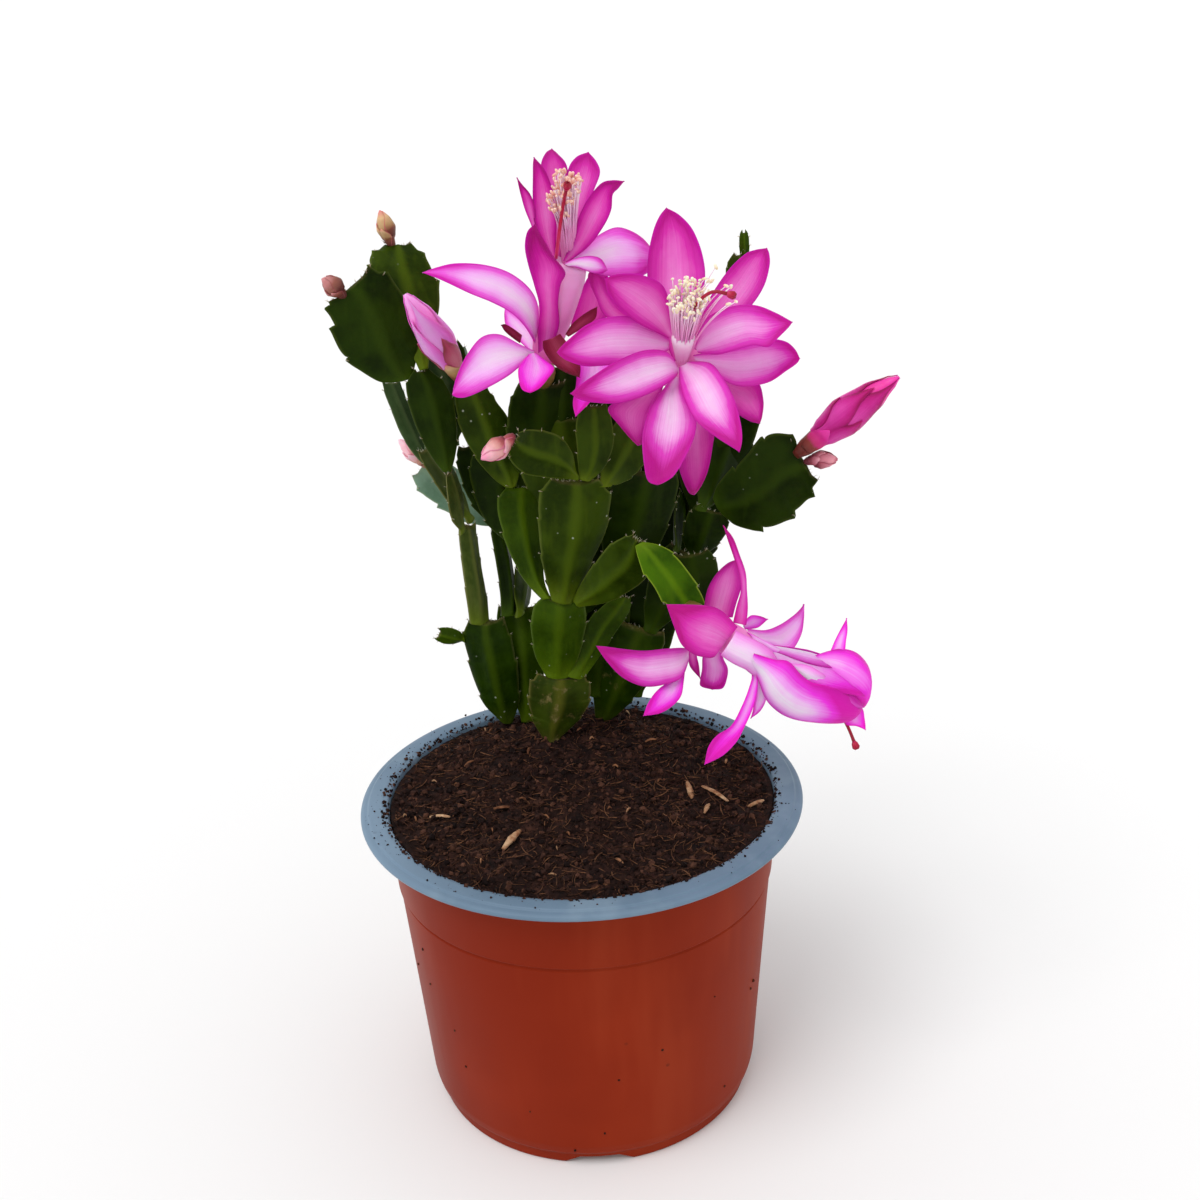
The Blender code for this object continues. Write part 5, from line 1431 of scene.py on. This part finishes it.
def wrap(name, base, tip, offset, width, start, end, turn, spread, lift, material, slot, node,
         radius_at=bud_r, blunt=3.2, thick=0.16):
    """A scale that lies on the bud's body and ends in a point."""
    local = random.Random(name)
    rings, along = [], []
    xs, signs = section(22)
    side = None
    for r in range(23):
        t = r / 22
        s = lerp(start, end, t)
        up = slope(base, tip, offset, min(s, 1))
        if side is None:
            side = across(up, 0)[0]
        right = (side - up * side.dot(up)).normalized()
        front = up.cross(right)
        at = bent(base, tip, offset, s)
        open_ = max(0.02, (0.55 + 0.45 * math.sin(math.pi * min(1, t * 1.25))) * max(0.0,
                                                                                     1 - t ** blunt) ** 0.8)
        ring = []
        for x, sign in zip(xs, signs):
            a = turn + x * spread * open_
            radius = width / 2 * radius_at(min(s, 1)) * (1 + 0.02 * x) + lift * (0.4 + t)
            radius += thick * sign * math.sqrt(max(0, 1 - x * x))
            ring.append(at + right * (radius * math.cos(a)) + front * (radius * math.sin(a)))
        rings.append(ring)
        along.append(t)
    heap = Heap()
    heap.rings(rings, along, xs, seed=local.uniform(0, 20))
    dress(heap.build(name, material), slot, node)


for name, foot, tip, width in BUDS:
    base, tip = Vector(foot), Vector(tip)
    offset = Vector((0, 0, -0.4 if name == "bud_5" else 0.4))
    large = width > 8
    heap = Heap()
    steps = 30
    line = [bent(base, tip, offset, k / steps) for k in range(steps + 1)]
    heap.tube(line, [width / 2 * bud_r(k / steps) * 0.97 for k in range(steps + 1)], 24)
    skin = {"bud_3": BUD_SKIN, "bud_6": BUD_SKIN_RED}.get(name) or SMALL[name]
    dress(heap.build(f"{name}_body", skin), "bud", name)
    if large:
        cover = PETAL["bud"] if name == "bud_3" else PETAL["bud_red"]
        low_cover = PETAL["bud_calyx"] if name == "bud_3" else PETAL["bud_red"]
        root_cover = BUD_SKIN_RED if name == "bud_6" else SMALL["bud_1"]
        for k, (start, end, turn, spread, lift, scale) in enumerate([
            (0.28, 1.0, 0.6, 1.25, 0.10, cover), (0.28, 1.0, 2.7, 1.25, 0.14, cover),
            (0.28, 1.0, 4.8, 1.25, 0.10, cover), (0.26, 0.84, 1.7, 0.95, 0.24, cover),
            (0.26, 0.82, 3.9, 0.95, 0.26, cover), (0.22, 0.60, 5.2, 0.8, 0.34, low_cover),
            (0.22, 0.56, 3.2, 0.8, 0.34, low_cover), (0.10, 0.36, 4.5, 1.1, 0.34, root_cover),
        ]):
            wrap(f"{name}_scale_{k}", base, tip, offset, width, start, end, turn, spread, lift, scale,
                 "bud", name)
    else:
        for k in range(5):
            wrap(f"{name}_scale_{k}", base, tip, offset, width, (0.12, 0.30, 0.24, 0.34, 0.16)[k],
                 (0.55, 0.97, 0.90, 1.0, 0.70)[k],
                 4.3 + k * 1.35, 1.05, 0.10 + 0.05 * (k % 2), SMALL[name], "bud", name)


# ---------------------------------------------------------------- the closed bell of flower_3
BELL = [(0, 0.40), (0.10, 0.46), (0.25, 0.66), (0.42, 0.87), (0.58, 0.98), (0.72, 1.0), (0.86, 0.90),
        (0.95, 0.66), (1, 0.40)]


def bell_r(s):
    return looked_up(BELL, s)


low, high = Vector((44.5, -12.4, 133.6)), Vector((74.4, -13.6, 117.6))
for k, (turn, spread, lift, kind) in enumerate([
    (1.57, 1.10, 0.8, "bell"), (0.35, 1.05, 1.0, "bell"), (2.80, 1.05, 0.1, "light"),
    (4.71, 1.30, -0.3, "light"), (3.90, 1.20, -0.1, "bell"), (5.50, 1.20, -0.1, "bell"),
]):
    wrap(f"flower_3_bell_{k}", low, high, Vector((0, 0, 0.4)), 12.6, 0.0, 1.0 - 0.01 * k, turn, spread,
         lift, PETAL[kind],
         "petal", "flower_3_inner", bell_r, 5.0, 0.22)

# ---------------------------------------------------------------- floor, light, camera
n = Nodes("studio_floor")
white = n.finish(n.ramp(n.noise(0.4, 1), (0.3, srgb(241, 241, 241)), (0.7, srgb(243, 243, 243))), 0.85,
                 Specular_IOR_Level=0.1)
heap = Heap()  # flat under the pot, swept up far behind so that no horizon shows
sweep = [(900, 0), (1500, 60), (3200, 420), (12000, 3000)]
heap.points = [polar(r, math.tau * k / 96, z) for r, z in sweep for k in range(96)]
heap.faces = [tuple(range(96))] + [(i * 96 + k, i * 96 + (k + 1) % 96, i * 96 + 96 + (k + 1) % 96,
                                    i * 96 + 96 + k)
                                   for i in range(3) for k in range(96)]
heap.marks = {}
floor = heap.build("floor", white)

world = bpy.data.worlds.new("studio")
bpy.context.scene.world = world
world.use_nodes = True
world.node_tree.nodes["Background"].inputs[0].default_value = (1, 1, 1, 1)
world.node_tree.nodes["Background"].inputs[1].default_value = 0.80


def sun(name, energy, angle, direction):
    light = bpy.data.lights.new(name, "SUN")
    light.energy, light.angle = energy, math.radians(angle)
    made = bpy.data.objects.new(name, light)
    made.rotation_mode = "QUATERNION"
    made.rotation_quaternion = Vector(direction).to_track_quat("-Z", "Y")
    bpy.context.scene.collection.objects.link(made)


sun("key", 1.25, 35, (0.40, 0.42, -1.0))

camera = bpy.data.objects.new("camera", bpy.data.cameras.new("camera"))
bpy.context.scene.collection.objects.link(camera)
camera.data.lens, camera.data.sensor_width = 45, 36
camera.data.clip_start, camera.data.clip_end = 0.01, 2000
C, T, ROLL = Vector((0, -0.359, 0.293)), Vector((0.0072, 0, 0.1446)), math.radians(-2.40)
f = (T - C).normalized()
r = f.cross(Vector((0, 0, 1))).normalized()
u = r.cross(f)
right = r * math.cos(ROLL) + u * math.sin(ROLL)
up = u * math.cos(ROLL) - r * math.sin(ROLL)
view = Matrix((right, up, -f)).transposed().to_4x4()
view.translation = C
camera.matrix_world = view
bpy.context.scene.camera = camera
bpy.context.scene.view_settings.view_transform = "Standard"
